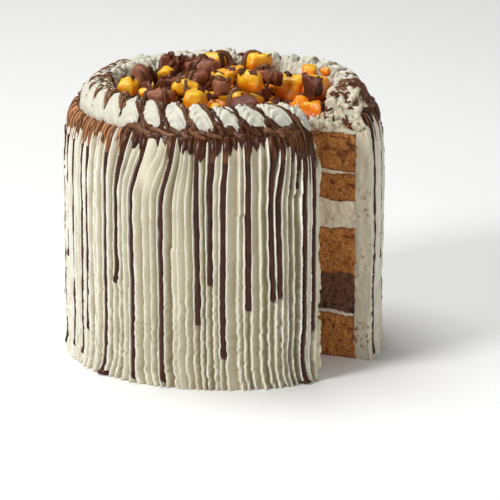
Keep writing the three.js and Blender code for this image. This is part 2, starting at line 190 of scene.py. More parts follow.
# %% Finished pieces, and tubes along paths
def make_piece(name, points, faces, look, slot, stands_for=(), **marks):
    """One finished piece: points in millimetres become a smooth mesh that rides on the cake's body.
    `faces` is a list of arrays, one row of point numbers for each face. A mark is a number kept at
    each point, or one number for all of them, which the piece's material reads."""
    points = np.asarray(points, float).reshape(-1, 3)
    mesh = bpy.data.meshes.new(name)
    sizes = np.concatenate([np.full(len(group), group.shape[1]) for group in faces])
    corners = np.concatenate([group.reshape(-1) for group in faces])
    mesh.vertices.add(len(points))
    mesh.vertices.foreach_set("co", (points * MM).astype(np.float32).ravel())
    mesh.loops.add(len(corners))
    mesh.loops.foreach_set("vertex_index", corners.astype(np.int32))
    mesh.polygons.add(len(sizes))
    mesh.polygons.foreach_set("loop_start", (np.cumsum(sizes) - sizes).astype(np.int32))
    mesh.polygons.foreach_set("use_smooth", np.ones(len(sizes), dtype=bool))
    for mark, values in marks.items():
        data = mesh.attributes.new(mark, "FLOAT", "POINT").data
        values = np.zeros(len(points)) + np.ravel(values)
        data.foreach_set("value", values.astype(np.float32))
    mesh.update(calc_edges=True)
    mesh.validate()
    mesh.materials.append(look)
    piece = bpy.data.objects.new(name, mesh)
    bpy.context.scene.collection.objects.link(piece)
    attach(piece, "root")
    if stands_for:
        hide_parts(*stands_for)
    print(f"{name}: {int((sizes - 2).sum())} triangles")
    return piece


TINY = 1e-9      # keeps a division by a length of nothing from failing


def tubes(paths, radii, around=8):
    """Closed round tubes, one for each path of points. A ring of each tube is drawn with the
    cosine and sine of an angle on two directions at right angles to the path."""
    paths = np.array(paths)
    run = np.gradient(paths, axis=1)
    run /= np.linalg.norm(run, axis=-1, keepdims=True) + TINY
    side = np.cross(run, (0, 0, 1))
    side /= np.linalg.norm(side, axis=-1, keepdims=True) + TINY
    top = np.cross(side, run)
    angle = 2 * math.pi * np.arange(around) / around
    ring = np.cos(angle)[:, None] * side[..., None, :] + np.sin(angle)[:, None] * top[..., None, :]
    points = paths[..., None, :] + ring * np.array(radii)[..., None, None]
    count, along = paths.shape[:2]
    return points, joined(shell_faces(along, around, k * along * around) for k in range(count))


print("faces of a tube of 5 rings:", len(tubes(np.ones((1, 5, 3)), np.ones((1, 5)))[1][0]) + 2)

# %% [markdown]
# ## Finishes
# Every finish is procedural and reads Object coordinates in metres, so its grain has a real size.
# Cream, sponge and mango let light in, which subsurface scattering gives; chocolate mostly doesn't,
# and its look is in its gloss. The colours were matched to how the food renders, because
# scattering makes yellow and brown food warmer than its base colour.

# %% Colours, nodes, noise and ramps
def colour(red, green, blue):
    """A colour from its values of 0 to 255 on a screen, as the linear numbers that shaders use."""
    share = np.array([red, green, blue]) / 255
    linear = np.where(share <= 0.04045, share / 12.92, ((share + 0.055) / 1.055) ** 2.4)
    return (*(float(value) for value in linear), 1.0)


def add_node(tree, kind, inputs=None, **settings):
    """A node with its settings, and its inputs either linked to a socket or set to a value."""
    made = tree.nodes.new(kind)
    for key, value in settings.items():
        setattr(made, key, value)
    for key, value in (inputs or {}).items():
        if isinstance(value, bpy.types.NodeSocket):
            tree.links.new(value, made.inputs[key])
        else:
            made.inputs[key].default_value = value
    return made


def noise_at(tree, scale, detail=3.0, roughness=0.5, stretch=None):
    """Noise on Object coordinates; `stretch` scales the three directions for a drawn-out grain."""
    place = add_node(tree, "ShaderNodeTexCoord").outputs["Object"]
    if stretch:
        place = add_node(tree, "ShaderNodeMapping", {"Vector": place, "Scale": stretch}).outputs["Vector"]
    made = add_node(tree, "ShaderNodeTexNoise", {
        "Vector": place, "Scale": scale, "Detail": detail, "Roughness": roughness})
    return made.outputs["Fac"]


def ramp(tree, factor, *stops):
    """A colour ramp through (position, colour) stops."""
    made = add_node(tree, "ShaderNodeValToRGB", {"Fac": factor})
    elements = made.color_ramp.elements
    while len(elements) < len(stops):
        elements.new(0.5)
    for element, (position, value) in zip(elements, stops):
        element.position, element.color = position, value
    return made.outputs["Color"]


print("a mid grey as a linear number:", round(colour(128, 128, 128)[0], 3))

# %% [markdown]
# A finish is a few steps that repeat: mix two colours, raise a bump, read a mark of the mesh. With
# a function for each, a finish can be read as a recipe. What is the same all over a surface, such
# as its roughness, is set on the shader itself.

# %% Mixes, bumps, marks and whole finishes
def mixed(tree, factor, first, second, blend="MIX"):
    """Two colours mixed by a factor."""
    made = add_node(tree, "ShaderNodeMix", data_type="RGBA", blend_type=blend)
    for socket, value in ((made.inputs[0], factor), (made.inputs[6], first), (made.inputs[7], second)):
        if isinstance(value, bpy.types.NodeSocket):
            tree.links.new(value, socket)
        else:
            socket.default_value = value
    return made.outputs[2]


def bump(tree, height, distance, strength=1.0, under=None):
    """A bump of `distance` metres from a height of 0 to 1, over another bump if there is one."""
    inputs = {"Height": height, "Distance": distance, "Strength": strength}
    if under is not None:
        inputs["Normal"] = under
    return add_node(tree, "ShaderNodeBump", inputs).outputs["Normal"]


def mark(tree, name):
    """A number that the mesh keeps at each point."""
    return add_node(tree, "ShaderNodeAttribute", attribute_name=name).outputs["Fac"]


def finish(name, build, **sockets):
    """A material whose shader sockets are set straight away; `build` links the rest to it."""
    look = bpy.data.materials.new(name)
    look.use_nodes = True
    tree = look.node_tree
    shader = tree.nodes["Principled BSDF"]
    for key, value in sockets.items():
        shader.inputs[key.replace("_", " ")].default_value = value
    for key, socket in build(tree).items():
        tree.links.new(socket, shader.inputs[key.replace("_", " ")])
    return look


print("materials so far:", len(bpy.data.materials))

# %% [markdown]
# Whipped cream is ivory and satin. Shade deep in a groove, darker and yellower, and a highlight
# along a torn ridge are both painted into its colour by marks that the coat keeps at its points:
# where a groove is comes from the formula of the shape, which is surer than reading it back from
# the mesh. Cream between the layers is coarser, with small bubbles.

# %% Cream, in the coat and between the layers
def cream_nodes(tree):
    """Ivory, with painted shade in the hollows, a greyer tone on the ring, a painted highlight along
    the crests, and dragged crumbs.
    """
    tone = ramp(tree, noise_at(tree, 38, 4), (0.3, colour(211, 203, 178)), (0.7, colour(226, 219, 196)))
    # painted shade: darker and yellower deep in the comb's grooves
    hollow = mixed(tree, mark(tree, "hollow"), tone, colour(150, 138, 104))
    pale = mixed(tree, mark(tree, "pale"), hollow, colour(203, 202, 187))
    # painted highlight: near white along each crest of the comb
    crest = mixed(tree, mark(tree, "crest"), pale, colour(247, 245, 232))
    dragged = mixed(tree, mark(tree, "crumbs"), crest, colour(150, 96, 56))
    small = bump(tree, noise_at(tree, 900, 3, 0.6), 0.0003, 0.5)
    return {"Base_Color": dragged, "Normal": bump(tree, noise_at(tree, 260, 3), 0.0006, 0.4, small)}


def filling_cream_nodes(tree):
    """Airy cream: a mottled tone under two sizes of small bumps."""
    tone = ramp(tree, noise_at(tree, 120, 4), (0.35, colour(232, 218, 188)), (0.65, colour(244, 237, 216)))
    small = bump(tree, noise_at(tree, 1400, 2, 0.6), 0.0004, 0.7)
    return {"Base_Color": tone, "Normal": bump(tree, noise_at(tree, 420, 3), 0.0008, 0.6, small)}


CREAM_SCATTER = {"Subsurface_Weight": 0.2, "Subsurface_Radius": (1.0, 0.85, 0.55),
                 "Subsurface_Scale": 0.0006}
whipped_cream = finish("whipped_cream", cream_nodes, Roughness=0.5, **CREAM_SCATTER)
filling_cream = finish("filling_cream", filling_cream_nodes, Roughness=0.6, **CREAM_SCATTER)
print("creams:", whipped_cream.name, filling_cream.name)

# %% [markdown]
# Sponge is a golden open crumb, darker along its baked crusts and with painted shade in its pores,
# and mousse is a brown grainy foam. Photographs of food could be wrapped round the layers, but
# noise at two sizes and the marks of the pores give a crumb that has no seam and no edge.

# %% Sponge and mousse
def sponge_nodes(tree):
    """Golden crumb in fine grains under broad patches, with darker crusts and painted shade in the
    pores, from their marks.
    """
    fine = ramp(tree, noise_at(tree, 700, 4, 0.65), (0.3, colour(152, 90, 36)), (0.55, colour(216, 150, 78)),
                (0.8, colour(244, 194, 126)))
    broad = ramp(tree, noise_at(tree, 60, 3), (0.3, colour(190, 160, 135)), (0.7, colour(255, 250, 240)))
    body = mixed(tree, 0.5, fine, mixed(tree, 1.0, fine, broad, "MULTIPLY"))
    crusted = mixed(tree, mark(tree, "crust"), body, colour(140, 78, 34))
    # painted shade: the pores are coloured dark
    pore_shaded = mixed(tree, mark(tree, "pore"), crusted, colour(120, 64, 26))
    small = bump(tree, noise_at(tree, 1500, 2, 0.6), 0.0005, 0.8)
    return {"Base_Color": pore_shaded, "Normal": bump(tree, noise_at(tree, 600, 3, 0.6), 0.0012, 0.8, small)}


def mousse_nodes(tree):
    """Brown foam in fine grains, with painted shade in its pores."""
    tone = ramp(tree, noise_at(tree, 500, 4, 0.65), (0.3, colour(76, 45, 31)), (0.6, colour(128, 87, 62)),
                (0.8, colour(166, 126, 96)))
    # painted shade: the pores are coloured dark
    pore_shaded = mixed(tree, mark(tree, "pore"), tone, colour(50, 27, 18))
    small = bump(tree, noise_at(tree, 1500, 2, 0.6), 0.0004, 0.7)
    return {"Base_Color": pore_shaded, "Normal": bump(tree, noise_at(tree, 500, 3, 0.6), 0.0012, 0.8, small)}


sponge = finish("sponge", sponge_nodes, Roughness=0.9, Subsurface_Weight=0.15,
                Subsurface_Radius=(1.0, 0.6, 0.3), Subsurface_Scale=0.0015)
mousse = finish("mousse", mousse_nodes, Roughness=0.85)
print("crumbs:", sponge.name, mousse.name)

# %% [markdown]
# Ripe mango is wet and lets light in, so it gets scattering and a thin coat. Each piece has a tone
# of its own, from yellow to orange, deepened on its lower sides as painted shade, and a brown stain
# where it stands in sauce. Chocolate is a dense brown: satin, darker below as painted shade and
# worn pale at the edges on the broken pieces, and smooth where it ran and set. A mark on each
# strand makes it pale tan: partly a milkier chocolate and partly a painted highlight.

# %% Mango, chocolate pieces and set chocolate
def mango_nodes(tree):
    """Yellow to orange by the tone mark, the piece's own tone, which on the heap's blocks has painted
    shade on their lower sides, with fibres, and stained brown by the sauce.
    """
    # the tone mark is the piece's own tone, deepened on lower sides as painted shade
    own = ramp(tree, mark(tree, "tone"), (0.0, colour(255, 200, 36)), (0.35, colour(255, 163, 14)),
               (1.0, colour(238, 108, 6)))
    veins = ramp(tree, noise_at(tree, 150, 4, 0.55, (1, 1, 2.5)), (0.3, colour(228, 158, 84)),
                 (0.62, colour(255, 255, 255)))
    small = bump(tree, noise_at(tree, 500, 2), 0.0003, 0.35)
    fruit = mixed(tree, 0.65, own, veins, "MULTIPLY")
    stained = mixed(tree, mark(tree, "sauce"), fruit, colour(120, 54, 14))
    return {"Base_Color": stained, "Normal": bump(tree, noise_at(tree, 170, 3), 0.0012, 0.5, small)}


def chocolate_piece_nodes(tree):
    """Milk chocolate: darker by the tone mark, the piece's own tone, which on the heap's blocks has
    painted shade on their lower sides; paler on worn edges, dark under sauce.
    """
    tone = ramp(tree, noise_at(tree, 140, 4, 0.6), (0.3, colour(86, 40, 26)), (0.62, colour(110, 55, 36)),
                (0.85, colour(138, 85, 64)))
    # the tone mark darkens: the piece's own tone, and painted shade on the lower sides of the blocks
    tone = mixed(tree, mark(tree, "tone"), tone, colour(62, 28, 19))
    worn = mixed(tree, mark(tree, "edge"), tone, colour(146, 90, 66))
    worn = mixed(tree, mark(tree, "sauce"), worn, colour(58, 24, 14))
    smoother, rougher = (0.34, 0.34, 0.34, 1), (0.5, 0.5, 0.5, 1)
    return {"Base_Color": worn, "Normal": bump(tree, noise_at(tree, 420, 3), 0.0005, 0.4),
            "Roughness": ramp(tree, noise_at(tree, 200, 3), (0.3, smoother), (0.7, rougher))}


def set_chocolate_nodes(tree):
    """Dark chocolate that set in a smooth skin, paler and tan by its mark, which is partly a milkier
    chocolate and partly a painted highlight.
    """
    tone = ramp(tree, noise_at(tree, 110, 3), (0.3, colour(38, 14, 5)), (0.7, colour(64, 26, 11)))
    # milky tone and painted highlight: a pale tan
    milky = mixed(tree, mark(tree, "milk"), tone, colour(224, 158, 108))
    return {"Base_Color": milky, "Normal": bump(tree, noise_at(tree, 260, 2), 0.0004, 0.4)}


mango = finish("mango", mango_nodes, Roughness=0.38, Coat_Weight=0.2, Coat_Roughness=0.14,
               Subsurface_Weight=0.35, Subsurface_Radius=(1.0, 0.5, 0.1), Subsurface_Scale=0.003)
chocolate_piece = finish("chocolate_piece", chocolate_piece_nodes, Specular_IOR_Level=0.22)
set_chocolate = finish("set_chocolate", set_chocolate_nodes, Roughness=0.3, Specular_IOR_Level=0.19)
print("toppings:", mango.name, chocolate_piece.name, set_chocolate.name)

# %% [markdown]
# ## Where the chocolate ran
# Runs of chocolate lie in the grooves of the combed wall, so the wall can't be shaped before they
# are placed. The front ones were measured from the photograph, and those that it doesn't show
# follow the same simple rule as the solid model's, with the same stream of numbers.

# %% The plan of the runs
FRONT_RUNS = [    # turn, height of the lower end, half width
    (-69.6, 8, 1.3), (-61.3, 7, 2.2), (-57.6, 24, 1.2), (-46.8, 0.5, 2.1), (-41.5, 60, 1.5),
    (-34.2, 2, 1.5), (-22.4, 3, 1.7), (-9.3, 40, 1.6), (-4.8, 65, 1.7), (-0.5, 19, 1.8),
    (8.4, 49, 1.6), (16.9, 54, 1.5), (19.6, 55, 1.5), (29.2, 0.5, 1.5), (33, 32, 1.4),
]
RUN_SPACING = 7.6            # degrees between two runs at the back, on average
RUN_ENDS = (0.5, 58, 22, 74, 5, 40, 30)      # the heights at which they end, one after another


def stream(seed):
    """A repeatable stream of numbers between 0 and 1."""
    state = seed
    while True:
        state = (state * 1664525 + 1013904223) & 0xFFFFFFFF
        yield state / 4294967296


def plan_runs():
    """The front runs, and before them runs all the way round from the far cut face."""
    numbers = stream(5)
    plan = []
    turn = FIRST_TURN + 3
    while turn < 360 + FRONT_RUNS[0][0] - 5:
        end = RUN_ENDS[len(plan) % len(RUN_ENDS)] + 8 * next(numbers)
        plan.append((turn, end, 1.3 + 0.18 * (len(plan) % 4)))
        turn += RUN_SPACING * (0.75 + 0.5 * next(numbers))
    return np.array(plan + [(turn + 360, end, width) for turn, end, width in FRONT_RUNS])


RUNS = plan_runs()
print("runs:", len(RUNS), "of which on the front:", len(FRONT_RUNS))

# %% [markdown]
# ## The combed coat
# A toothed comb drawn up the wall leaves upright ridges with scooped valleys between them. No two
# are alike: ridges wander, break off, and spread at the foot. Modelling them one by one would be
# endless, so the wall is one radius for each turn and height. A list of ridge lines is spread
# between the chocolate runs, and the depth at a point follows from where it lies between its two
# neighbouring ridges.

# %% Ridge lines
RIDGE_SPACING = 4.9
RUN_VALLEY = 3.6             # how deep the valley is that a run lies in
RUN_VALLEY_HALF = 2.2        # half its width
random = np.random.default_rng(3)


def ridge_lines():
    """Turns of the ridges: every run lies midway between two of them, and the cut faces each
    start on one. The gaps between runs are shared out unevenly, as a worn comb leaves them. Also
    the depth of the valley after each ridge."""
    stations = np.concatenate([[FIRST_TURN], RUNS[:, 0], [LAST_TURN]])
    half_run = as_turn(RUN_VALLEY_HALF)
    lines, depths = [], []
    for k, (start, end) in enumerate(zip(stations[:-1], stations[1:])):
        start += half_run * (k > 0)
        end -= half_run * (k < len(stations) - 2)
        count = max(1, round(math.radians(end - start) * CAKE_RADIUS / RIDGE_SPACING))
        weights = random.uniform(0.5, 1.7, count)
        shares = np.concatenate([[0], np.cumsum(weights) / weights.sum()])
        lines.extend(start + (end - start) * shares)
        depths.extend(random.uniform(2.2, 4.7, count) * np.sqrt(weights))
        depths.append(RUN_VALLEY)
    return np.array(lines), np.array(depths)


RIDGES, VALLEYS = ridge_lines()
RIDGE_DROP = random.uniform(0, 1.0, len(RIDGES))
LOWEST = random.uniform(0.6, 0.82, len(RIDGES))      # where a valley is deepest, as a share of its width
print("ridges:", len(RIDGES), "narrowest gap:", round(float(np.diff(RIDGES).min()), 2), "degrees")

# %% [markdown]
# Nobody draws a comb dead straight. The strokes lean where they run out over the lip, swing
# where the comb was set down at the foot, and step sideways where it stopped and went on. Bending
# the turn before the ridges are looked up moves all of them at once and never makes two cross.

# %% How the ridges wander
NOTCHES = [(365.7, 109), (385.9, 119), (341, 88), (318, 64), (100, 95), (131, 60), (163, 112),
           (198, 74), (226, 101), (252, 52), (277, 118), (296, 83)]      # turn and height of each stop
LEAN_TURNS = (FIRST_TURN, 290, 313, 318.5, 325.8, 337.6, 345, 350.7, 359, 368.4, 377, 379.6, 389,
              LAST_TURN)
LEANS = (0, 0, 1, 2.5, 4, 6.3, 3, -0.5, 1.4, 0, 1.2, 3, 0.6, 0)      # degrees to +X near the lip


def wander(turn, z):
    """How far the ridges stray from their turns, in degrees: slow waves, small shakes, the lean of
    the comb's strokes near the lip, a lean at the foot where it was set down, and a step at each
    notch."""
    stray = 0.5 * bumps(1, 11, turn / 13, z / 55) + 0.14 * bumps(1, 12, turn / 3.2, z / 8)
    lean = np.interp(turn, LEAN_TURNS, LEANS)
    lean = lean + 2.2 * bumps(1, 17, turn / 12, z * 0) * smooth(300 - turn, 0, 15)
    stray = stray - lean * smooth(z, 112, 152) ** 1.2
    stray = stray + 2.2 * np.clip((20 - z) / 20, 0, 1) ** 2 * bumps(1, 13, turn / 15, z * 0)
    for at, height in NOTCHES:
        near = np.exp(-(((turn - at) / 2.4) ** 2))
        stray = stray + 0.6 * near * (1 - smooth(z, height - 2, height + 1.5)) * np.exp((z - height) / 45)
    return stray


print("near turn 338, 90 mm up, the ridges stray by", float(wander(337.6, 90.0).round(2)), "degrees")

# %% [markdown]
# Cut across, a groove of the comb isn't a half circle: one side of each tooth pushes the cream and
# the other drags it. The formula takes the share of the way between two ridges and reads the depth
# from it, so the same few lines give every groove its own width, depth and slant.

# %% How deep the comb went
BROAD_STROKES = [(331.8, 3.4), (119, 3), (204, 4), (262, 3)]      # turn and half width
CREST_WIDTH = 0.72           # in mm
MM_PER_DEGREE = math.radians(CAKE_RADIUS)


def comb_depth(turn, z):
    """Depth of the cream's surface below its highest ridges, and how near a crest a place is,
    which is the mask of a painted highlight. From a crest it drops at once by less than half, falls
    on slowly across a broad flat, and climbs steeply to the next crest. The crests' own heights are
    blended across, and each is torn into small beads, more and more towards the foot."""
    moved = turn + wander(turn, z)
    k = np.clip(np.searchsorted(RIDGES, moved, side="right") - 1, 0, len(RIDGES) - 2)
    tear = 0.1 + 0.9 * (1 - smooth(z, 15, 105))
    edges, drops = [], []
    for side in (0, 1):
        ridge = (k + side) * 7.3
        beads = bumps(1, 15, ridge, z / 2.1)
        edges.append(RIDGES[k + side] + 0.42 * tear * beads + 0.14 * bumps(1, 16, ridge, z / 7))
        drops.append(RIDGE_DROP[k + side] * (0.8 + 0.6 * bumps(1, 14, ridge, z / 15))
                     + 0.7 * tear * np.abs(beads))
    gap = np.maximum(edges[1] - edges[0], 0.4)
    share = np.clip((moved - edges[0]) / gap, 0, 1)
    drop = 0.45 * (1 - np.exp(-share / 0.07)) + 0.55 * np.minimum(share / LOWEST[k], 1)
    scoop = VALLEYS[k] * np.minimum(1, gap / 1.7) * drop * (1 - smooth(share, LOWEST[k] - 0.04, 1.0))
    nearest = np.minimum(share, 1 - share) * gap * MM_PER_DEGREE
    calm = sum(np.exp(-(((turn - at) / half) ** 2)) for at, half in BROAD_STROKES)
    calm = calm * smooth(z, 110, 134)
    depth = (scoop + drops[0] * (1 - share) + drops[1] * share) * (1 - 0.8 * calm)
    # mask of the painted highlight on each crest, stronger or weaker at random
    crest = np.exp(-((nearest / CREST_WIDTH) ** 2)) * (0.75 + 0.35 * bumps(1, 18, k * 5.1, z / 6))
    return depth, np.clip(crest * (1 - calm), 0, 1)


print("depth at a turn of 10 degrees:", comb_depth(np.array([10.0]), np.array([80.0]))[0].round(2))

# %% [markdown]
# Seen from the side the coat is a line: a foot that spreads, the wall, a lip that stands up, and
# the flat top behind it. A spun outline would be a perfect drum, so the outline is only the start,
# and the comb and a slow unevenness move each point of it along its outward direction.

# %% The coat's outline, from the foot over the lip to the axis
COAT_OUTLINE = [(102, 0), (101.2, 4), (100.2, 12), (100, 40), (100, 90), (100, 122), (99.6, 132),
                (98.8, 140.5), (97.0, 147.6), (94.6, 152.6), (91.8, 155.7), (90.3, 154.9),
                (89.5, 151.6), (88.0, 150.1), (84, 150), (60, 150), (30, 150), (0.4, 150)]
LINE_STEP = 0.95             # mm between points along the outline
DITCH_FLOOR = 88.0           # inside this radius the top is flat


def smooth_line(points):
    """A Catmull-Rom curve through points: between two of them it is a cubic whose slope at each
    follows the line from its neighbour before to its neighbour after."""
    points = np.array(points, float)
    padded = np.concatenate([2 * points[:1] - points[1:2], points, 2 * points[-1:] - points[-2:-1]])
    t = np.linspace(0, 1, 60, endpoint=False)[:, None]
    before, start, end, after = (padded[i:len(padded) - 3 + i, None] for i in range(4))
    curve = 0.5 * (2 * start + (end - before) * t + (2 * before - 5 * start + 4 * end - after) * t ** 2
                   + (3 * start - before - 3 * end + after) * t ** 3)
    return np.concatenate([curve.reshape(-1, 2), points[-1:]])


def outline_at(distances=None):
    """Radius, height, and outward direction along the outline: fine steps as far as the ditch and
    coarse ones over the flat top."""
    line = smooth_line(COAT_OUTLINE)
    walked = np.concatenate([[0], np.cumsum(np.linalg.norm(np.diff(line, axis=0), axis=1))])
    if distances is None:
        turn_in = walked[np.argmax((line[:, 0] < DITCH_FLOOR) & (line[:, 1] > CAKE_TOP - 1))]
        distances = np.concatenate([np.arange(0, turn_in, LINE_STEP),
                                    np.linspace(turn_in, walked[-1], 22)])
    r, z = (np.interp(distances, walked, line[:, i]) for i in (0, 1))
    slope_r, slope_z = np.gradient(r, distances), np.gradient(z, distances)
    length = np.hypot(slope_r, slope_z)
    out_r, out_z = slope_z / length, -slope_r / length
    return {"r": r, "z": z, "out_r": out_r, "out_z": out_z * smooth(z, 10, 30), "at": distances}


OUTLINE = outline_at()
LIP = int(np.argmax(OUTLINE["z"]))
LIP_AT = OUTLINE["at"][LIP]
print("outline:", len(OUTLINE["r"]), "points, the lip is", OUTLINE["z"][LIP].round(1), "mm high")

# %% [markdown]
# The surface is one function of a turn and a place on the outline. The coat, its cut ends, the
# glaze over it and the strands that lie on it all ask the same function, so they always fit each
# other, also after a number in it was changed.

# %% The cream's surface
def comb_share(line):
    """How strongly the comb marked each place of the outline: fully on the wall, and less and less
    over the lip into the ditch."""
    return np.interp(line["at"], [LIP_AT - 16, LIP_AT - 2, LIP_AT + 5], [1.0, 0.45, 0.0])


def coat_surface(turn, line, lift=None):
    """The cream's surface: the outline, moved outwards by a slow unevenness and inwards by the
    comb's depth. With `lift` the comb is left out and the surface lies that much higher, which is
    where chocolate comes that fills the grooves."""
    r, z, share = line["r"], line["z"], comb_share(line)
    turn = turn + np.zeros_like(r)
    uneven = 0.7 * bumps(1, 21, turn / 17, z / 38) + 0.25 * bumps(1, 22, turn / 4, z / 9)
    out = uneven * np.maximum(share, 0.3) * smooth(r, 60, 92)
    out = out + (lift if lift is not None else -comb_depth(turn, z)[0] * share)
    foot = np.clip((9 - z) / 9, 0, 1) ** 2 * (r > 95)
    out = out - foot * 1.1 * np.abs(bumps(1, 23, turn / 2.2, z * 0))
    for at, height in NOTCHES:
        near = np.exp(-(((turn - at) / 2.2) ** 2)) * (r > 95)
        above, at_it, below = (np.exp(-(((z - height - offset) / size) ** 2))
                               for offset, size in ((2.6, 2), (0, 1.3), (-3, 2)))
        out = out + near * (0.7 * above - 1.1 * at_it + 0.5 * below)
    sag = (1 - smooth(LAST_TURN - turn, 0, 6)) * smooth(z, 128, 149) * smooth(r, 89, 91)
    torn = 1 - smooth(np.minimum(turn - FIRST_TURN, LAST_TURN - turn), 0, 9)
    x, y, _ = xyz(on_turn(turn, r, z))
    flat = (r < DITCH_FLOOR) * (0.35 + 1.3 * torn) * np.maximum(bumps(5, 24, x, y), -0.2)
    return on_turn(turn, r + out * line["out_r"] - 2.5 * sag,
                   np.maximum(z + out * line["out_z"] - 4.8 * sag + flat, 0))


def comb_hollow(turn, line):
    """How deep in the comb's marks a place lies, from 0 to 1, and how near to a crest: the masks of
    the painted shade in the hollows and the painted highlight on the crests.
    """
    depth, crest = comb_depth(turn + 0 * line["z"], line["z"])
    return np.clip(depth / 4.2, 0, 1) ** 1.3 * comb_share(line), crest * comb_share(line)


print("the lip at turn 0:", coat_surface(0.0, OUTLINE)[LIP].round(1))

# %% [markdown]
# One mesh for the whole coat would have more triangles than a file of one piece should, so it is
# made in four parts. Each seam lies in the valley under a run of chocolate, where nobody sees it.

# %% Make the coat in four parts, with the seams in valleys
COAT_STEP = 0.206            # degrees between upright lines of points
CUT_DEPTH = 2.0              # degrees of the coat that belong to a cut end
COAT_INNER, COAT_CEILING = 88.0, 143.3       # the wall's inner radius, the top's underside


def coat_shell(name, start, end):
    """A closed part of the coat: the outline's points, then back along the inside of the wall."""
    turns = np.linspace(start, end, round((end - start) / COAT_STEP) + 1)[:, None]
    outer = coat_surface(turns, OUTLINE)
    inner = np.stack([on_turn(turns[:, 0], r, z) for r, z in
                      ((0.4, COAT_CEILING), (COAT_INNER, COAT_CEILING), (COAT_INNER, 0))], axis=1)
    points = np.concatenate([outer, inner], axis=1)
    # masks of the painted shade in the grooves and the painted highlight on the crests
    hollow, crest = (np.pad(values, ((0, 0), (0, 3))) for values in comb_hollow(turns, OUTLINE))
    return make_piece(name, points, shell_faces(*points.shape[:2]), whipped_cream, "whipped_cream",
                      ["cream_coat"], hollow=hollow, crest=crest)


quarters = FIRST_TURN + SPAN * np.array([[0.25], [0.5], [0.75]])
seams = RUNS[np.abs(RUNS[:, 0] - quarters).argmin(axis=1), 0]
seams = [FIRST_TURN + CUT_DEPTH, *seams, LAST_TURN - CUT_DEPTH]
for number, (start, end) in enumerate(zip(seams[:-1], seams[1:]), 1):
    coat_shell(f"combed_coat_{number}", start, end)

# %% [markdown]
# The two cut faces need cream all the way through, with the marks that the cut left. A thin block
# is made there: a lattice whose three directions go out through the cream, round the cake, and
# along the outline. Its outer side is the same combed surface, so it meets the part beside it
# without a step.

# %% The coat's cut ends
THROUGH_CREAM = 18           # points from the inside of the wall to its surface
INSIDE_TOP, TOP_INNER = 139.0, 84.0      # where the wall's inner side ends and the top's begins
ON_FACE = 1e-6               # two turns that differ by less are the same


def dragged_crumbs(x, y, z):
    """Where the cut dragged crumbs over the cream: small spots of noise, in loose groups."""
    return np.clip(3 * (bumps(1.7, 38, x, y, z) + 0.5 * bumps(8, 39, x, y, z) - 0.55), 0, 0.9)


def coat_cut(name, start, end, cut):
    """The end of the coat at a cut face. A point is blended from the inside of the wall to the
    outer surface; on the cut face it moves out of the face by the smears of the cut."""
    turns = np.sort(cut + (start + end - 2 * cut) * np.linspace(0, 1, 9) ** 1.6)
    outer = coat_surface(turns[:, None], OUTLINE)
    walked, corner = OUTLINE["at"], COAT_CEILING
    wall_end = np.interp(INSIDE_TOP, OUTLINE["z"][:LIP], walked[:LIP])
    top_start = walked[np.argmax(OUTLINE["r"] < COAT_INNER - 0.1)]
    path_at = [0, wall_end, (wall_end + top_start) / 2, top_start, walked[-1]]
    inner_r = np.interp(walked, path_at, [COAT_INNER, COAT_INNER, COAT_INNER, TOP_INNER, 0.4])
    inner_z = np.interp(walked, path_at, [0, INSIDE_TOP, corner, corner, corner])
    inner = on_turn(turns[:, None], inner_r, inner_z)
    through = np.linspace(0, 1, THROUGH_CREAM)[:, None, None, None]
    points = inner * (1 - through) + outer * through
    x, y, z = xyz(points)
    smear = 0.6 * bumps(7, 31, x, y, z) + 0.45 * bumps(2.6, 32, x, y, z * 0.7)
    smear = smear + 0.15 * bumps(1.2, 33, x, y, z)
    smear = smear + 1.8 * np.maximum(bumps(4.5, 34, x, y, z), 0) * smooth(z, 138, 146)
    smear = smear - 2.6 * np.maximum(bumps(3.2, 40, x, y, z) - 0.3, 0) * smooth(z, 140, 146)
    on_face = (np.abs(turns - cut) < ON_FACE)[None, :, None]
    crumbs = dragged_crumbs(x, y, z) * on_face
    points = points + ((smear + 0.5 * crumbs) * on_face)[..., None] * out_of_face(cut)
    points[..., 2] = np.maximum(points[..., 2], 0)
    placed, faces, used = block(points)
    return make_piece(name, placed, faces, whipped_cream, "whipped_cream", ["cream_coat"],
                      crumbs=crumbs.ravel()[used])


coat_cut("coat_cut_far", FIRST_TURN, FIRST_TURN + CUT_DEPTH, FIRST_TURN)
coat_cut("coat_cut_near", LAST_TURN - CUT_DEPTH, LAST_TURN, LAST_TURN)

# %% [markdown]
# ## Set chocolate on the wall and in the ditch
# Warm chocolate was drizzled over the ring, gathered in the ditch outside it, and ran down the
# grooves. In the ditch and over the lip it is a second surface on the same outline, level where
# the comb's valleys are deep, so ridge tips stand out of it as they do on the real cake. Lower
# down each run is a rod with a domed front and a round end.

# %% Where the chocolate went over the lip
BARE_TURNS = (262, 317)      # where the ring's outer side and the ditch stayed white


def bare_share(turn):
    """1 in the part of the ring that got little chocolate, and 0 elsewhere."""
    first, last = BARE_TURNS
    return smooth(turn, first - 4, first + 2) * (1 - smooth(turn, last - 2, last + 3))


def in_valley(line, z):
    """The turn at a height of a line of the comb: the turn plus its own wandering has to give the
    line, which a few rounds of halved corrections find."""
    turn = line - wander(line + 0 * z, z)
    for _ in range(8):
        turn = turn - 0.5 * (turn + wander(turn, z) - line)
    return turn


def run_path(k, z):
    """The turn of a run at a height, which wanders as its valley does."""
    return in_valley(RUNS[k, 0], z)


def short_runs():
    """Turns, ends and half widths of the tongues between the runs that stopped just below the lip."""
    random = np.random.default_rng(29)
    plan = []
    for start, end in zip(RUNS[:-1, 0], RUNS[1:, 0]):
        for share in () if end - start < 4.5 else (0.5,) if end - start < 10 else (0.34, 0.68):
            plan.append((start + (end - start) * (share + random.uniform(-0.08, 0.08)),
                         random.uniform(144, 151), random.uniform(0.8, 1.6)))
    return plan


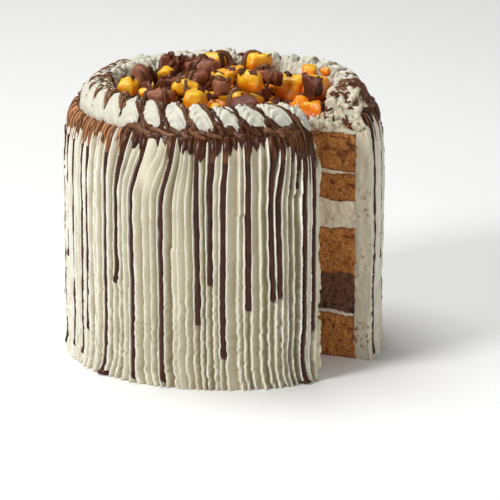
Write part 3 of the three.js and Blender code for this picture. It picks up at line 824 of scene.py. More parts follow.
TONGUES = short_runs()
print("short tongues between the runs:", len(TONGUES))

# %% [markdown]
# How high the chocolate lies is one function too: a flood from the ditch over the lip, and a
# rounded back for each run that leaves it. The higher of them wins at each place, which is how
# chocolate looks where two streams of it meet.

# %% How high the glaze lies
GLAZE_FROM = 126.0                       # below this height the glaze sinks under the cream
DEEPEST = -4.5                           # deeper than the valleys that runs lie in
SHEET_TURN, SHEET_DROP = 389.5, 13.0     # where many strands ran together, and how far down in mm


def dome(off_middle, wide, crown):
    """The rounded back of a run: at its middle it is as high as its crown, and it falls like a
    circle until it is under its valley at its sides, with nothing beyond them."""
    away = MM_PER_DEGREE * off_middle / wide
    fall = 1 - np.sqrt(np.maximum(0, 1 - away ** 2))
    return np.where(np.abs(away) < 1, crown - (crown - DEEPEST) * fall, 2 * DEEPEST)


def glaze_level(turn, line):
    """Height of the chocolate over the cream's highest ridges: a flood in the ditch and on the lip
    that drops away outside it, or the dome of a run or a short tongue where that is higher. Both
    widen upwards, with a power of the height."""
    z, r, at = line["z"], line["r"], line["at"]
    edge = 2.6 * bumps(1, 41, turn / 6, z * 0) + 0.4 * bumps(1, 42, turn / 2, z * 0)
    edge = edge + SHEET_DROP * np.exp(-(((turn - SHEET_TURN) / 5) ** 2))
    flood = np.interp(at + edge - LIP_AT, [-14, -10, -7, -3, 0, 8], [-4.8, -3.0, -2.1, -0.8, 0.5, 0.9])
    flood = flood + 0.25 * bumps(1, 43, turn / 3.4, at / 4) * (r < 97)
    flood = flood - bare_share(turn) * (1.6 + 3 * smooth(at - LIP_AT, -3, 1))
    level = flood
    spread = smooth(z, 135, 153) ** 1.3 * (r > 90)
    for k, half_width in enumerate(RUNS[:, 2]):
        wide = half_width + (2.0 + 2.4 * ((k * 37) % 10) / 10) * spread
        lean = as_turn((((k * 53) % 9) - 4) * 0.5) * spread
        crown = -0.9 + 1.5 * spread - 3.5 * (1 - smooth(z, GLAZE_FROM, GLAZE_FROM + 8))
        level = np.maximum(level, dome(turn - run_path(k, z) - lean, wide, crown))
    for k, (at_turn, end, half_width) in enumerate(TONGUES):
        wide = 0.5 * half_width + 0.34 * np.maximum(z - end, 0)
        lean = as_turn((((k * 31) % 7) - 3) * 0.35) * spread
        crown = -0.5 + spread - 5 * (1 - np.sqrt(smooth(z, end - 1, end + 3)))
        level = np.maximum(level, dome(turn - in_valley(at_turn, z) - lean, wide, crown))
    return level


print("chocolate on the lip at turn 10:", glaze_level(np.array([[10.0]]), OUTLINE)[0, LIP].round(2))

# %% [markdown]
# Where the chocolate's surface would lie under the cream, no chocolate is made. The grid is cut
# along that border, and what is left gets an underside inside the cream and a wall along its edge,
# which makes one closed sheet. A solid cut by the cream's mesh would do the same far more slowly.

# %% The glaze as a closed sheet
GLAZE_STEP, GLAZE_ROW = 0.34, 0.62       # its squares, in degrees and along the outline in mm
GLAZE_DOWN, GLAZE_IN = 36.0, 8.6         # how far it may reach from the lip, outside and inside


def set_piece(name, points, faces, milk):
    """A piece of set chocolate, and its mark of milky tone and painted highlight: one number, or one
    for each point.
    """
    milk = np.zeros(points.shape[:-1]) + milk
    return make_piece(name, points, faces, set_chocolate, "chocolate_sauce", milk=milk)


def around_shown(shows):
    """The squares of a grid with a corner that shows. Where two of them would meet at a corner
    only, that corner is taken in as well, so that the sheet never hangs together at a point."""
    while True:
        kept = shows[:-1, :-1] | shows[1:, :-1] | shows[:-1, 1:] | shows[1:, 1:]
        first, second, third, fourth = kept[:-1, :-1], kept[1:, :-1], kept[:-1, 1:], kept[1:, 1:]
        pinched = (first == fourth) & (second == third) & (first != second)
        if not pinched.any():
            return kept.ravel()
        shows[1:-1, 1:-1] |= pinched


def closed_sheet(faces, count):
    """A sheet's faces, the same faces turned over on a second set of points, and a wall along
    every edge that only one face uses."""
    ahead = np.stack([faces, np.roll(faces, -1, axis=1)], axis=-1).reshape(-1, 2)
    keys, back = ahead[:, 0] * count + ahead[:, 1], ahead[:, 1] * count + ahead[:, 0]
    rim = ahead[~np.isin(keys, back)]
    walls = np.stack([rim[:, 1], rim[:, 0], rim[:, 0] + count, rim[:, 1] + count], axis=-1)
    return [np.concatenate([faces, faces[:, ::-1] + count, walls])]


def glaze():
    """The glaze's grid, kept only where it lies above the cream, as a closed sheet whose underside
    is in the cream."""
    line = outline_at(np.arange(LIP_AT - GLAZE_DOWN, LIP_AT + GLAZE_IN, GLAZE_ROW))
    turns = np.arange(FIRST_TURN + 0.1, LAST_TURN, GLAZE_STEP)[:, None]
    level = glaze_level(turns, line)
    cream = -comb_depth(turns + 0 * line["z"], line["z"])[0] * comb_share(line)
    level = np.maximum(level, cream - 0.8)
    points = coat_surface(turns, line, level).reshape(-1, 3)
    under = coat_surface(turns, line, np.minimum(level, cream) - 0.6).reshape(-1, 3)
    squares = grid_faces(np.arange(level.size).reshape(level.shape))
    faces = squares[around_shown(level > cream - 0.7)]
    used, faces = np.unique(faces, return_inverse=True)
    faces = closed_sheet(faces.reshape(-1, 4), len(used))
    # a milky tone at random, and in the bare part a painted highlight that makes the chocolate tan
    milk = 0.02 + 0.12 * np.clip(bumps(1, 44, turns / 1.1 + 0 * level, line["at"] / 9), 0, 1)
    milk = milk + 0.16 * bare_share(turns)
    return set_piece("chocolate_glaze", np.concatenate([points[used], under[used]]), faces,
                     np.tile(milk.ravel()[used], 2))


glaze()

# %% [markdown]
# On the open wall a run is a rod that sank into its valley. It could be part of the glaze's grid,
# but its round end and its undercut sides need points that two heights share, which a grid over
# the wall can't give. So each run is a tube of its own, wide where it gathered before it stopped.

# %% The runs down the wall
RUN_TOP = 141.0              # where a run's rod ends, inside the glaze
RUN_RINGS = 88               # rings of points along a run
RUN_WIDEST = 2.05            # half the width of the thickest run, clear of the ridges beside it
RUN_TIP = 1.9                # how far a run's round end reaches up


def runs():
    """Rods down the wall. A ring is half an ellipse in front and flat behind, inside the cream;
    its size swells a little above the end and closes in a quarter circle there."""
    angle = np.linspace(0, math.pi, 11)
    across = np.concatenate([np.cos(angle), [-0.55, 0.55]])
    front = np.concatenate([np.sin(angle) ** 0.8, [-0.9, -0.9]])
    all_points, groups = [], []
    for k, (_, end, half_width) in enumerate(RUNS):
        z = end + (RUN_TOP - end) * np.linspace(0, 1, RUN_RINGS) ** 1.25
        size = np.sqrt(1 - (1 - np.minimum((z - end) / RUN_TIP, 1)) ** 2)
        size = np.maximum(size, 0.06) * (1 + 0.22 * np.exp(-(((z - end - 3) / 2.6) ** 2)))
        pool = 2.2 * np.exp(-((z / 2.2) ** 2)) if end < 1 else 0 * z
        uneven = 1 + 0.28 * bumps(1, 51 + k, z / 13) + 0.12 * bumps(1, 91 + k, z / 4)
        width = np.minimum(half_width * uneven * size, RUN_WIDEST) + half_width * pool
        crown = 3.0 * size + 0.35 * bumps(1, 71, z / 6, k + 0 * z) + 0.9 * pool
        base = CAKE_RADIUS + np.interp(z, [0, 4, 12], [2, 1.2, 0.2]) * (z < 12) - RUN_VALLEY
        base = base + 0.7 * bumps(1, 21, RUNS[k, 0] / 17 + 0 * z, z / 38) - 0.5 * smooth(z, 128, 141)
        r = base[:, None] + crown[:, None] * front
        turn = run_path(k, z)[:, None] + as_turn(width[:, None] * across)
        all_points.append(on_turn(turn, r, np.maximum(z[:, None] + 0 * across, 0.05)))
        groups.append(shell_faces(RUN_RINGS, len(across), k * r.size))
    return set_piece("chocolate_runs", np.concatenate(all_points), joined(groups), 0.02)


runs()

# %% [markdown]
# ## The piped ring
# A star nozzle piped a rope of shells: each one swells, tails off into a valley, and carries the
# nozzle's ribs over its back. Each shell could be modelled once and copied round, but then all
# of them would be twins. The ring is one grid, a turn round the cake by an angle over the ring's
# section, and slow noise makes each shell its own. Its cream has a greyer, less yellow tone than
# the coat's.

# %% The ring's surface
SHELLS = 31
SHELL_PITCH = SPAN / SHELLS  # degrees from one shell to the next
RING_MIDDLE, RING_HALF, RING_HEIGHT, RING_FOOT = 77.85, 11.35, 20.5, 150.3
SHELL_LEAN = 6.0             # degrees from a shell's inner side to its outer side


def ring_lean(turn, across):
    """Shells lean: their outer side is some degrees further round than their inner side."""
    away = smooth(np.minimum(turn - FIRST_TURN, LAST_TURN - turn), 0, SHELL_PITCH)
    return SHELL_LEAN * (across - 0.5) * away


def ring_surface(turn, angle, lift=0.0):
    """A point of the ring at a turn and at an angle over its section, 0 at the outer foot and 180
    at the inner one. The section is a half ellipse. Its size follows the shells' swelling, a
    power of the distance from the shell's middle, with ribs along the nozzle's way."""
    radians = np.radians(angle)
    across = (1 + np.cos(radians)) / 2
    shell = np.floor((turn - FIRST_TURN) / SHELL_PITCH)
    phase = (turn - FIRST_TURN) / SHELL_PITCH - shell
    middle = 2 * ((phase - 0.02) % 1) - 1
    own_size = 1 + 0.1 * bumps(1, 61, shell * 3.7, angle * 0)
    swell = 0.76 + 0.28 * (1 - np.abs(middle) ** 4.4) * own_size
    rib = (angle + 9 * shell) / 24 + 1.7 * middle ** 2 + 0.5 * bumps(1, 62, turn / 6, angle / 40)
    size = 1 + 0.075 * (np.abs(np.sin(math.pi * rib)) - 0.6) * (0.5 + 0.5 * np.sin(radians))
    torn = 1 - smooth(turn - FIRST_TURN, 0, 8)
    sagged = 1 - smooth(LAST_TURN - turn, 0, 9)
    rise = RING_HEIGHT * size * swell * (1 - 0.4 * torn - 0.2 * sagged)
    reach = size * (0.82 + 0.18 * swell)
    crown = np.maximum(np.sin(radians), 0) ** 0.8
    teeth = 2.4 * np.abs(np.sin(math.pi * 3.5 * (phase + 0.1))) ** 2.5
    teeth = teeth * smooth(angle, 100, 125) * crown
    rough = (0.6 + 2.6 * torn) * bumps(5, 63, turn * 1.36, angle / 5)
    rough = rough + (0.3 + 0.4 * torn) * bumps(2.2, 64, turn * 1.36, angle / 5)
    r = RING_MIDDLE + (RING_HALF * reach + rough + lift) * np.cos(radians)
    z = RING_FOOT + 1.2 + (rise - 1.5 + rough + lift) * crown + teeth
    return on_turn(turn + ring_lean(turn, across), r, np.maximum(z, RING_FOOT - 1.2))


print("the ring's crest at turn 0:", ring_surface(np.array([0.0]), 90.0)[0].round(1))

# %% [markdown]
# The rope of shells is a closed tube that was cut through at both of its ends. Torn cream is rough,
# so each end is a short block with a face of its own, as on the coat, and the tube between them
# stays light.

# %% The ring and its cut ends
RING_ANGLES = np.linspace(-14, 194, 98)      # over the section, from outside to inside
RING_STEPS = 950             # points of the grid round the cake
RING_PALE = 0.8              # how much of the greyer tone its cream has
RING_CUT = 2.0               # degrees of the ring that belong to a cut end


def ring():
    """The ring's closed grid between its cut ends: over its back and under it."""
    turns = np.linspace(FIRST_TURN + RING_CUT, LAST_TURN - RING_CUT, RING_STEPS)[:, None]
    over = ring_surface(turns, RING_ANGLES)
    return make_piece("piped_ring", over, shell_faces(*over.shape[:2]), whipped_cream, "whipped_cream",
                      ["piped_border"], pale=RING_PALE)


def ring_cut(name, start, end, cut):
    """A cut end of the ring: points are blended from the section's middle to its surface, and the
    face that the cut left is torn by three sizes of bumps."""
    turns = np.linspace(start, end, 7)[:, None]
    outer = ring_surface(turns, RING_ANGLES)
    middle = on_turn(turns, RING_MIDDLE, RING_FOOT + 4.0) + 0 * outer
    through = np.linspace(0, 1, 30)[:, None, None, None]
    points = middle * (1 - through) + outer * through
    place = xyz(points)
    torn = 1.6 * bumps(6, 35, *place) + 0.7 * bumps(3, 36, *place) + 0.15 * bumps(1.4, 37, *place)
    on_face = (np.abs(turns[:, 0] - cut) < ON_FACE)[None, :, None]
    points = points + (torn * on_face)[..., None] * out_of_face(cut)
    placed, faces, _ = block(points)
    return make_piece(name, placed, faces, whipped_cream, "whipped_cream", ["piped_border"],
                      pale=RING_PALE)


ring()
ring_cut("ring_cut_far", FIRST_TURN, FIRST_TURN + RING_CUT, FIRST_TURN)
ring_cut("ring_cut_near", LAST_TURN - RING_CUT, LAST_TURN, LAST_TURN)

# %% [markdown]
# Between the lip and the ring's foot the chocolate stood in a ditch and climbed the ring a little.
# A flat disc would show a straight shore, so the pool is a narrow band whose height climbs with
# the valleys between the shells and has ripples of its own.

# %% The pool in the ditch
POOL_WIDE = 8.0              # mm from the lip to the ring
POOL_OUTER, POOL_SLANT = 92.2, 5.6       # its radius at the lip, and how much less at the ring
POOL_LEVEL = 155.6           # its height at the lip
POOL_STEPS = 900             # points round the cake


def pool_surface(turn, inward, lift=0.0):
    """The chocolate between the lip and the ring: from the lip it runs inwards and climbs the
    ring's side with a power of the distance, higher in the valleys between the shells."""
    share = inward / POOL_WIDE
    phase = (turn - 3 - FIRST_TURN) / SHELL_PITCH
    climb = 4.3 + 3.0 * np.abs(np.cos(math.pi * phase)) ** 3
    ends = smooth(np.minimum(turn - FIRST_TURN, LAST_TURN - turn), -1, 7)
    z = POOL_LEVEL + climb * ends * share ** 1.3 - 4 * (1 - ends)
    z = z + 0.7 * bumps(1, 45, turn / 2.2, inward / 2.4) - 7 * bare_share(turn)
    return on_turn(turn, POOL_OUTER - POOL_SLANT * share, z + lift)


def pool():
    """The pool as a closed form, with its underside hidden in the cream."""
    turns = np.linspace(FIRST_TURN + 0.3, LAST_TURN - 0.3, POOL_STEPS)[:, None]
    top = pool_surface(turns, np.linspace(0, POOL_WIDE, 12))
    outer, inner = on_turn(turns, 90.6, 150.5), on_turn(turns, 84, 150.5)
    points = np.concatenate([outer, top, inner], axis=1)
    milk = 0.02 + 0.14 * np.clip(bumps(1, 46, turns / 3, np.arange(points.shape[1]) / 2), 0, 1)
    return set_piece("chocolate_pool", points, shell_faces(*points.shape[:2]), milk)


pool()

# %% [markdown]
# Chocolate that is drizzled while it sets leaves strands. On the ring they lie in bundles: fanned
# out over the inner side of a shell, and drawn together in the valley beside it, where the next
# pass joined them. Curves with a round bevel would do, but the strands have to lie on a surface
# that is a formula, so their points are taken from the same formula, a hair above it.

# %% Strands over the ring
STRANDS_IN_BUNDLE, STRANDS_AT_BACK, LOOSE_STRANDS = 5, 2, 18
BACK_TURNS = (120, 235)      # where bundles are thinner, because the far ring shows more cream


def strands(name, paths, radii, milk, around=8):
    """Tubes of set chocolate as one piece, each with its own number for the milky tone and painted
    highlight.
    """
    points, faces = tubes(paths, radii, around)
    return set_piece(name, points, faces, np.array(milk)[:, None, None])


def ring_strands():
    """Bundles that fan out on the ring's inner side and draw together in the valley outside. In
    the bare part they end high on the ring, and loose strands lie over the torn first shell."""
    random = np.random.default_rng(17)
    share = np.linspace(0, 1, 38)
    paths, radii, milk = [], [], []
    for valley in range(1, SHELLS):
        at = FIRST_TURN + valley * SHELL_PITCH
        start, end = 100 if at < BARE_TURNS[0] else 166, 6 + 44 * bare_share(at)
        wide = random.uniform(0.7, 1.0) * (0.85 if at < 300 else 1.25)
        at_back = BACK_TURNS[0] < at < BACK_TURNS[1]
        for strand in range(STRANDS_AT_BACK if at_back else STRANDS_IN_BUNDLE):
            angle = start * (1 - share) + (end + 12 * random.random() * bare_share(at)) * share
            fan = smooth(angle, 38, 98)
            turn = at + 0.4 + (0.5 - 0.28 * strand) * wide * (1 - fan)
            turn = turn - fan * (1.45 * strand - 0.8 + random.uniform(-0.5, 0.5))
            turn = turn + random.uniform(-0.2, 0.2) + 2.6 * (1 - smooth(angle, 5, 60))
            turn = turn + 0.45 * bumps(1, 200 + valley * 9 + strand, share * 5)
            paths.append(ring_surface(turn, np.maximum(angle, 2), 0.3))
            thick = (0.56 + 0.3 * (1 - fan)) * (0.75 + 0.5 * random.random()) * wide
            radii.append(thick * np.sqrt(smooth(share, -0.02, 0.05) * smooth(1 - share, -0.01, 0.04)))
            milk.append(random.uniform(0.0, 0.2) + 0.15 * (at < 320))
    for strand in range(LOOSE_STRANDS):
        turn = FIRST_TURN + 2 + random.uniform(0, 17) + random.uniform(-3, 5) * share
        turn = np.maximum(turn + 0.8 * bumps(1, 150 + strand, share * 4), FIRST_TURN + 1)
        paths.append(ring_surface(turn, 125 * (1 - share) + 8 * share, 0.2))
        radii.append(random.uniform(0.4, 0.8) * np.sqrt(smooth(share, -0.02, 0.1)))
        milk.append(random.uniform(0.05, 0.3))
    return strands("ring_strands", paths, radii, milk)


ring_strands()

# %% [markdown]
# Where a bundle is drawn together it becomes one rope that hangs into the ditch. A rope crosses
# from one surface to another, so its path is worked out on both and blended where they meet, which
# needs no search for the place where they touch.

# %% Ropes down the ring's outer side
THIN_ROPE_TURNS = (110, 250)     # where the ropes are thinner
HIGH_ROPES_FROM = 241.5      # from this turn on, ropes start on the ring's inner side


def ring_ropes():
    """One thick rope in each valley. It comes down the ring's outer side and bends into the ditch
    under the next shell; the two paths are blended where the ring meets the pool."""
    random = np.random.default_rng(43)
    share = np.linspace(0, 1, 50)
    paths, radii = [], []
    for valley in range(1, SHELLS):
        at = FIRST_TURN + valley * SHELL_PITCH
        thin = 0.55 if THIN_ROPE_TURNS[0] < at < THIN_ROPE_TURNS[1] else 1
        thin = thin * (1 - 0.65 * bare_share(at))
        start = 95 if at < HIGH_ROPES_FROM else 128
        angle = start - (start - 30) * np.minimum(share / 0.55, 1)
        turn = at - 1.6 * smooth(angle, 60, 128) + 0.3 * bumps(1, 240 + valley, share * 3)
        bend = random.uniform(5, 10) * smooth(share, 0.5, 1.05)
        inward = POOL_WIDE * (1 - random.uniform(0.3, 0.9) * smooth(share, 0.55, 1))
        down = smooth(share, 0.42, 0.62)[:, None]
        over = ring_surface(turn, angle, 0.3)
        along = pool_surface(np.minimum(turn + 2.6 + bend, LAST_TURN - 1), inward, 0.5)
        paths.append(over * (1 - down) + along * down)
        ends = np.sqrt(np.clip((1 - share) * 12, 0.02, 1)) * (0.3 + 0.7 * smooth(share, 0, 0.35))
        uneven = 1 + 0.15 * bumps(1, 280 + valley, share * 4)
        radii.append(random.uniform(1.4, 1.9) * thin * ends * uneven)
    points, faces = tubes(paths, radii, 10)
    milk = 0.04 + 0.12 * np.clip(bumps(6, 49, *xyz(points)), 0, 1)
    return set_piece("ring_ropes", points, faces, milk)


ring_ropes()

# %% [markdown]
# More ropes cross the pool on a slant, from a shell to the lip. A rope that fell on soft chocolate
# half sinks in, so its path lies only a little above the pool, and both ends are rounded off.

# %% Ropes in the ditch
DITCH_ROPES = 44


def ditch_ropes():
    """Ropes that leave the ring's foot, cross the pool on a slant and end on the lip, each with a
    wave and an uneven thickness."""
    random = np.random.default_rng(19)
    share = np.linspace(0, 1, 40)
    paths, radii, milk = [], [], []
    for number in range(DITCH_ROPES):
        begin = FIRST_TURN + 2 + (SPAN - 14) * (number + random.random()) / DITCH_ROPES
        length = random.uniform(7, 16)
        turn = begin + length * share
        inward = POOL_WIDE * (1 - smooth(share, 0, 1)) * random.uniform(0.5, 1.05)
        inward = inward - random.uniform(0, 1.6) * share + 0.8 * bumps(1, 500 + number, share * 3)
        beyond_lip = np.maximum(-inward, 0)
        path = pool_surface(np.minimum(turn, LAST_TURN - 1), np.maximum(inward, 0), 0.3)
        path[:, 2] -= 0.6 * beyond_lip
        paths.append(path)
        ends = np.sqrt(np.clip(np.minimum(share, 1 - share) * 12, 0.02, 1))
        radii.append(random.uniform(1.2, 2.0) * ends * (1 + 0.2 * bumps(1, 600 + number, share * 4)))
        milk.append(random.uniform(0.02, 0.22))
    return strands("ditch_ropes", paths, radii, milk)


ditch_ropes()

# %% [markdown]
# The thinnest strands run over the lip and stop on the wall. They come in families: two beside
# each run, a row where chocolate was drizzled along the shoulder, painted pale tan as a highlight,
# a loose row behind the far cut face and a close sheet before the near one. They follow the
# glaze's own height, so they never float and never vanish in it.

# %% Strands over the lip
HIGHLIT_ROW = np.arange(264, 319, 1.25)         # turns at which a strand of each family starts
FAR_ROW = np.arange(68, 96, 1.6)
SHEET_ROW = np.arange(379.5, LAST_TURN - 0.8, 0.85)
SHEET_POINT, SHEET_LONGEST = 391, 36.0       # the turn at which the sheet's ends make a point


def lip_starts():
    """Where the thin strands start, in degrees, how far below the lip they end, in mm, and their mark
    of milky tone and painted highlight. The ends of the sheet make a point; the rest end where
    chance puts them."""
    random = np.random.default_rng(23)
    starts = [(turn + side, random.uniform(5, 15), 0.06) for turn in RUNS[:, 0] for side in (-1.2, 1.0)]
    for turn in HIGHLIT_ROW:
        # painted highlight: the strands of this row are made pale tan
        starts.append((turn + random.uniform(-0.3, 0.3), random.uniform(7, 22), 0.5))
    for turn in SHEET_ROW:
        drop = SHEET_LONGEST - 3.2 * abs(turn - SHEET_POINT)
        starts.append((turn, drop + random.uniform(-4, 4), 0.08))
    for turn in FAR_ROW:
        starts.append((turn + random.uniform(-0.4, 0.4), random.uniform(4, 22), 0.14))
    return np.array(starts)


def lip_strands():
    """Thin strands from the ring's side over the lip. Each crosses the pool and then keeps to one
    line of the comb down the wall. The two paths are blended on the lip."""
    random = np.random.default_rng(24)
    starts = lip_starts()
    share = np.linspace(0, 1, 44)
    draw = random.uniform(size=(7, len(starts), 1))
    bare = bare_share(starts[:, :1])
    inside = POOL_WIDE * (0.8 + 0.3 * draw[1]) * (1 - bare) + (0.5 + 3 * draw[5]) * bare
    distance = inside * (1 - share) - starts[:, 1:2] * share
    over_lip = outline_at(np.arange(LIP_AT - 60, LIP_AT + 8, 0.4))
    place = LIP_AT + np.minimum(distance, 2)
    line = {key: np.interp(place, over_lip["at"], values) for key, values in over_lip.items()}
    home = in_valley(starts[:, :1], line["z"])
    turn = home + (draw[2] - 0.5) * 0.6 + 0.3 * bumps(1, 47, starts[:, :1] * 3.1, share * 4)
    turn = np.clip(turn + 1.6 * (1 - share) ** 2 * (draw[6] - 0.5), FIRST_TURN + 0.6, LAST_TURN - 0.7)
    lift = np.maximum(glaze_level(turn, line), -1.6) + 0.1
    wall = coat_surface(turn, line, lift)
    pool = pool_surface(turn, np.maximum(distance, 0), 0.25)
    blend = smooth(distance, -0.5, 2)[..., None]
    paths = wall * (1 - blend) + pool * blend
    radii = (0.6 + 0.5 * draw[3]) * np.sqrt(np.clip(1.02 - share, 0, 1)) + 0.05
    milk = starts[:, 2] * (0.5 + draw[4, :, 0])
    return strands("lip_strands", paths, radii, milk, 6)


lip_strands()

# %% [markdown]
# ## The heap
# Mango dice and broken chocolate are rounded blocks. A bevel on the solids would round their
# edges, but evenly, and cut fruit is never even. So each block is a ball whose radius in each
# direction is worked out anew, and the directions come first.

# %% Directions over a ball
AROUND, UPWARDS = 46, 33     # directions round a ball's pole, and rings of them between the poles


def ball_rings(polar, around):
    """Points of a unit ball on rings, each at an angle from the pole."""
    polar, turn = polar[:, None], 2 * math.pi * np.arange(around) / around
    sines = np.sin(polar)
    return np.stack(np.broadcast_arrays(sines * np.cos(turn), sines * np.sin(turn), np.cos(polar)),
                    axis=-1)


def directions():
    """Unit directions on rings from pole to pole, with their faces; poles are single points."""
    rings = ball_rings(np.linspace(0, math.pi, UPWARDS + 2)[1:-1], AROUND)
    index = np.arange(UPWARDS * AROUND).reshape(UPWARDS, AROUND)
    closed = np.concatenate([index, index[:, :1]], axis=1)
    top, bottom = UPWARDS * AROUND, UPWARDS * AROUND + 1
    fans = [np.stack([np.full(AROUND, top), closed[0, :-1], closed[0, 1:]], axis=-1),
            np.stack([np.full(AROUND, bottom), closed[-1, 1:], closed[-1, :-1]], axis=-1)]
    points = np.concatenate([rings.reshape(-1, 3), [[0, 0, 1], [0, 0, -1]]])
    return points, grid_faces(closed), np.concatenate(fans)


UNIT, UNIT_QUADS, UNIT_FANS = directions()


def unit_faces(count):
    """The faces of many forms that each have the unit directions as points."""
    return joined((UNIT_QUADS + k * len(UNIT), UNIT_FANS + k * len(UNIT)) for k in range(count))


print("directions from the middle of a block:", len(UNIT))

# %% [markdown]
# A solid is known by its flat faces: where each looks, and how far it is from the middle. Along a
# direction, the face that is met first sets the distance, and a smooth minimum over all faces
# rounds the edges between them. A low power melts the edges of wet fruit, and a high one keeps the
# snapped edges of chocolate. Each form stays where its solid came to rest.

# %% Rounded blocks from the solids
def values_of(items, key, size=3, kind=float):
    """One property of all points, faces or corners of a mesh, as rows of an array."""
    values = np.zeros(len(items) * size, dtype=kind)
    items.foreach_get(key, values)
    return values.reshape(-1, size)


def node_planes(name):
    """The middle of a solid in millimetres, and the direction and distance of its faces."""
    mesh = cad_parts[name].data
    points = values_of(mesh.vertices, "co") / MM
    normals = values_of(mesh.polygons, "normal")
    corner = values_of(mesh.loops, "vertex_index", 1, np.int32)[:, 0]
    starts = values_of(mesh.polygons, "loop_start", 1, np.int32)[:, 0]
    middle = np.unique(points.round(3), axis=0).mean(axis=0)
    away = np.einsum("ij,ij->i", normals, points[corner[starts]] - middle)
    planes = np.unique(np.column_stack([normals, away]).round(2), axis=0)
    return middle, planes[planes[:, 3] > 0.8]


def random_rotation(random):
    """A rotation by chance: three random arrows are made square to each other, and mirrored where
    they would turn a form inside out."""
    arrows, _ = np.linalg.qr(random.normal(size=(3, 3)))
    return arrows * np.sign(np.linalg.det(arrows))


def rounded(name, power, random, swell, bend=0.0, cuts=0):
    """A solid as one soft form: one over the power-mean of how much of each face's distance a
    direction uses up, and a little larger to make up for the melted edges. Directions that are
    bent by soft noise first give bulging faces and crooked edges, and a few more planes at
    random cut corners off."""
    middle, planes = node_planes(name)
    if cuts:
        ways = random.normal(size=(cuts, 3)) + (0, 0, 0.4)
        ways /= np.linalg.norm(ways, axis=1, keepdims=True)
        reach = 1 / (np.maximum(ways @ planes[:, :3].T, 0) / planes[:, 3]).max(axis=1)
        corners = np.column_stack([ways, reach * random.uniform(0.62, 0.9, cuts)])
        planes = np.concatenate([planes, corners])
    ways = UNIT @ random_rotation(random).T
    shift = [bumps(0.9, int(random.integers(1000)), *(ways.T + 9)) for _ in range(3)]
    bent = ways + bend * np.stack(shift, axis=-1)
    used = np.maximum(bent @ planes[:, :3].T, 0) / planes[:, 3]
    total = (used ** power).sum(axis=1)
    reach = swell * total ** (-1 / power)
    flat = used.max(axis=1) / (total ** (1 / power))
    return middle, ways, reach, 1 - flat


print("flat faces of the first die:", len(node_planes("mango_01")[1]))

# %% [markdown]
# The dice aren't all the same: ripe fruit dents where it is cut, some corners are gone, and the
# undersides took up sauce. Noise of three sizes makes the dents, and marks keep each piece's tone,
# deepened on its lower sides as painted shade, how near to an edge a point lies and how much sauce
# is on it.

# %% Blocks, mango and chocolate
def orange_share(middle, random):
    """How orange a piece of mango is, or how dark a piece of chocolate: more so towards +X."""
    return np.clip(0.05 + 0.3 * random.random() + 0.5 * smooth(middle[0], 25, 55), 0, 1)


HEAP_SWELL = 1.16            # makes up for the corners that the rounding takes off


def blocks(name, nodes, powers, look, slot, seed, roughness):
    """All blocks of one kind as one piece, dented and roughened by three sizes of bumps. Their
    lower sides are stained by the sauce that they stand in, and take a deeper tone as painted shade."""
    random = np.random.default_rng(seed)
    points, edges, tones, stains = [], [], [], []
    for number, node in enumerate(nodes):
        power = random.uniform(*powers)
        middle, ways, reach, edge = rounded(node, power, random, HEAP_SWELL, bend=0.14, cuts=3)
        x, y, z = (middle + ways * reach[:, None]).T
        reach = reach * (1 + 0.12 * bumps(9, seed + 3, x + 40 * number, y, z))
        reach = reach + roughness[0] * bumps(4.5, seed, x, y, z)
        reach = reach + roughness[1] * bumps(1.9, seed + 1, x, y, z)
        points.append(middle + ways * reach[:, None])
        edges.append(edge)
        # painted shade: the last term deepens the tone on lower sides, orange on mango, darker on chocolate
        tones.append(orange_share(middle, random) + 0.3 * bumps(7, seed + 2, x, y, z) - 0.75 * ways[:, 2])
        stains.append(0.8 * smooth(0.9 * bumps(5, seed + 4, x, y, z) - 0.9 * ways[:, 2], 0.3, 1.2))
    edges = np.clip((np.concatenate(edges) - 0.08) * 6, 0, 1) ** 2
    tones = np.clip(np.concatenate(tones), 0, 1)
    placed = np.concatenate(points)
    make_piece(name, placed, unit_faces(len(nodes)), look, slot, nodes, tone=tones, edge=edges,
               sauce=np.concatenate(stains))
    return placed


heap_nodes = sorted(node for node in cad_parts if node[-1].isdigit())
dice = [node for node in heap_nodes if node.startswith("mango_")]
broken = [node for node in heap_nodes if node.startswith("chocolate_")]
heap_points = [blocks("mango_dice", dice, (2.4, 6.5), mango, "mango", 5, (0.5, 0.12)),
               blocks("chocolate_chunks", broken, (3.5, 8), chocolate_piece, "chocolate_piece", 6,
                      (0.7, 0.15))]

# %% [markdown]
# Between the blocks the real heap shows dark chocolate that ran together on the cream. A low disc
# with a bumpy top does for it, because only gaps of a few millimetres show it.

# %% The bed of chocolate under the heap
def heap_bed():
    """A thin disc with a bumpy top that thins out towards the ring."""
    turns = np.linspace(FIRST_TURN + 2, LAST_TURN - 2, 150)[:, None]
    radii = np.linspace(1.5, 68, 54)
    top = on_turn(turns, radii, 0.0)
    x, y, _ = xyz(top)
    thick = 2.2 + 1.6 * bumps(9, 81, x, y) + 0.7 * bumps(3.5, 82, x, y)
    top[..., 2] = CAKE_TOP + 0.6 + np.maximum(thick, 0.2) * smooth(70 - radii, 0, 8)
    under = on_turn(turns, radii, CAKE_TOP - 0.2)
    points, faces, _ = block(np.stack([under, top], axis=2).transpose(1, 0, 2, 3))
    return set_piece("heap_bed", points, faces, 0.1)


heap_bed()

# %% [markdown]
# Splinters and small bits fill the heap. Letting them fall with real physics would take minutes
# and give another heap each time, so a map keeps how high the heap is at each place, and a bit is
# set down at that height. The map is made from the points of the blocks.

# %% A map of the heap's height
CELL = 1.6                   # the side of a square of the map


def square_of(place):
    """The two numbers of the map's square that a place lies over."""
    squares = round(2 * CAKE_RADIUS / CELL)
    return np.clip(((place + CAKE_RADIUS) / CELL).astype(int), 0, squares - 1)


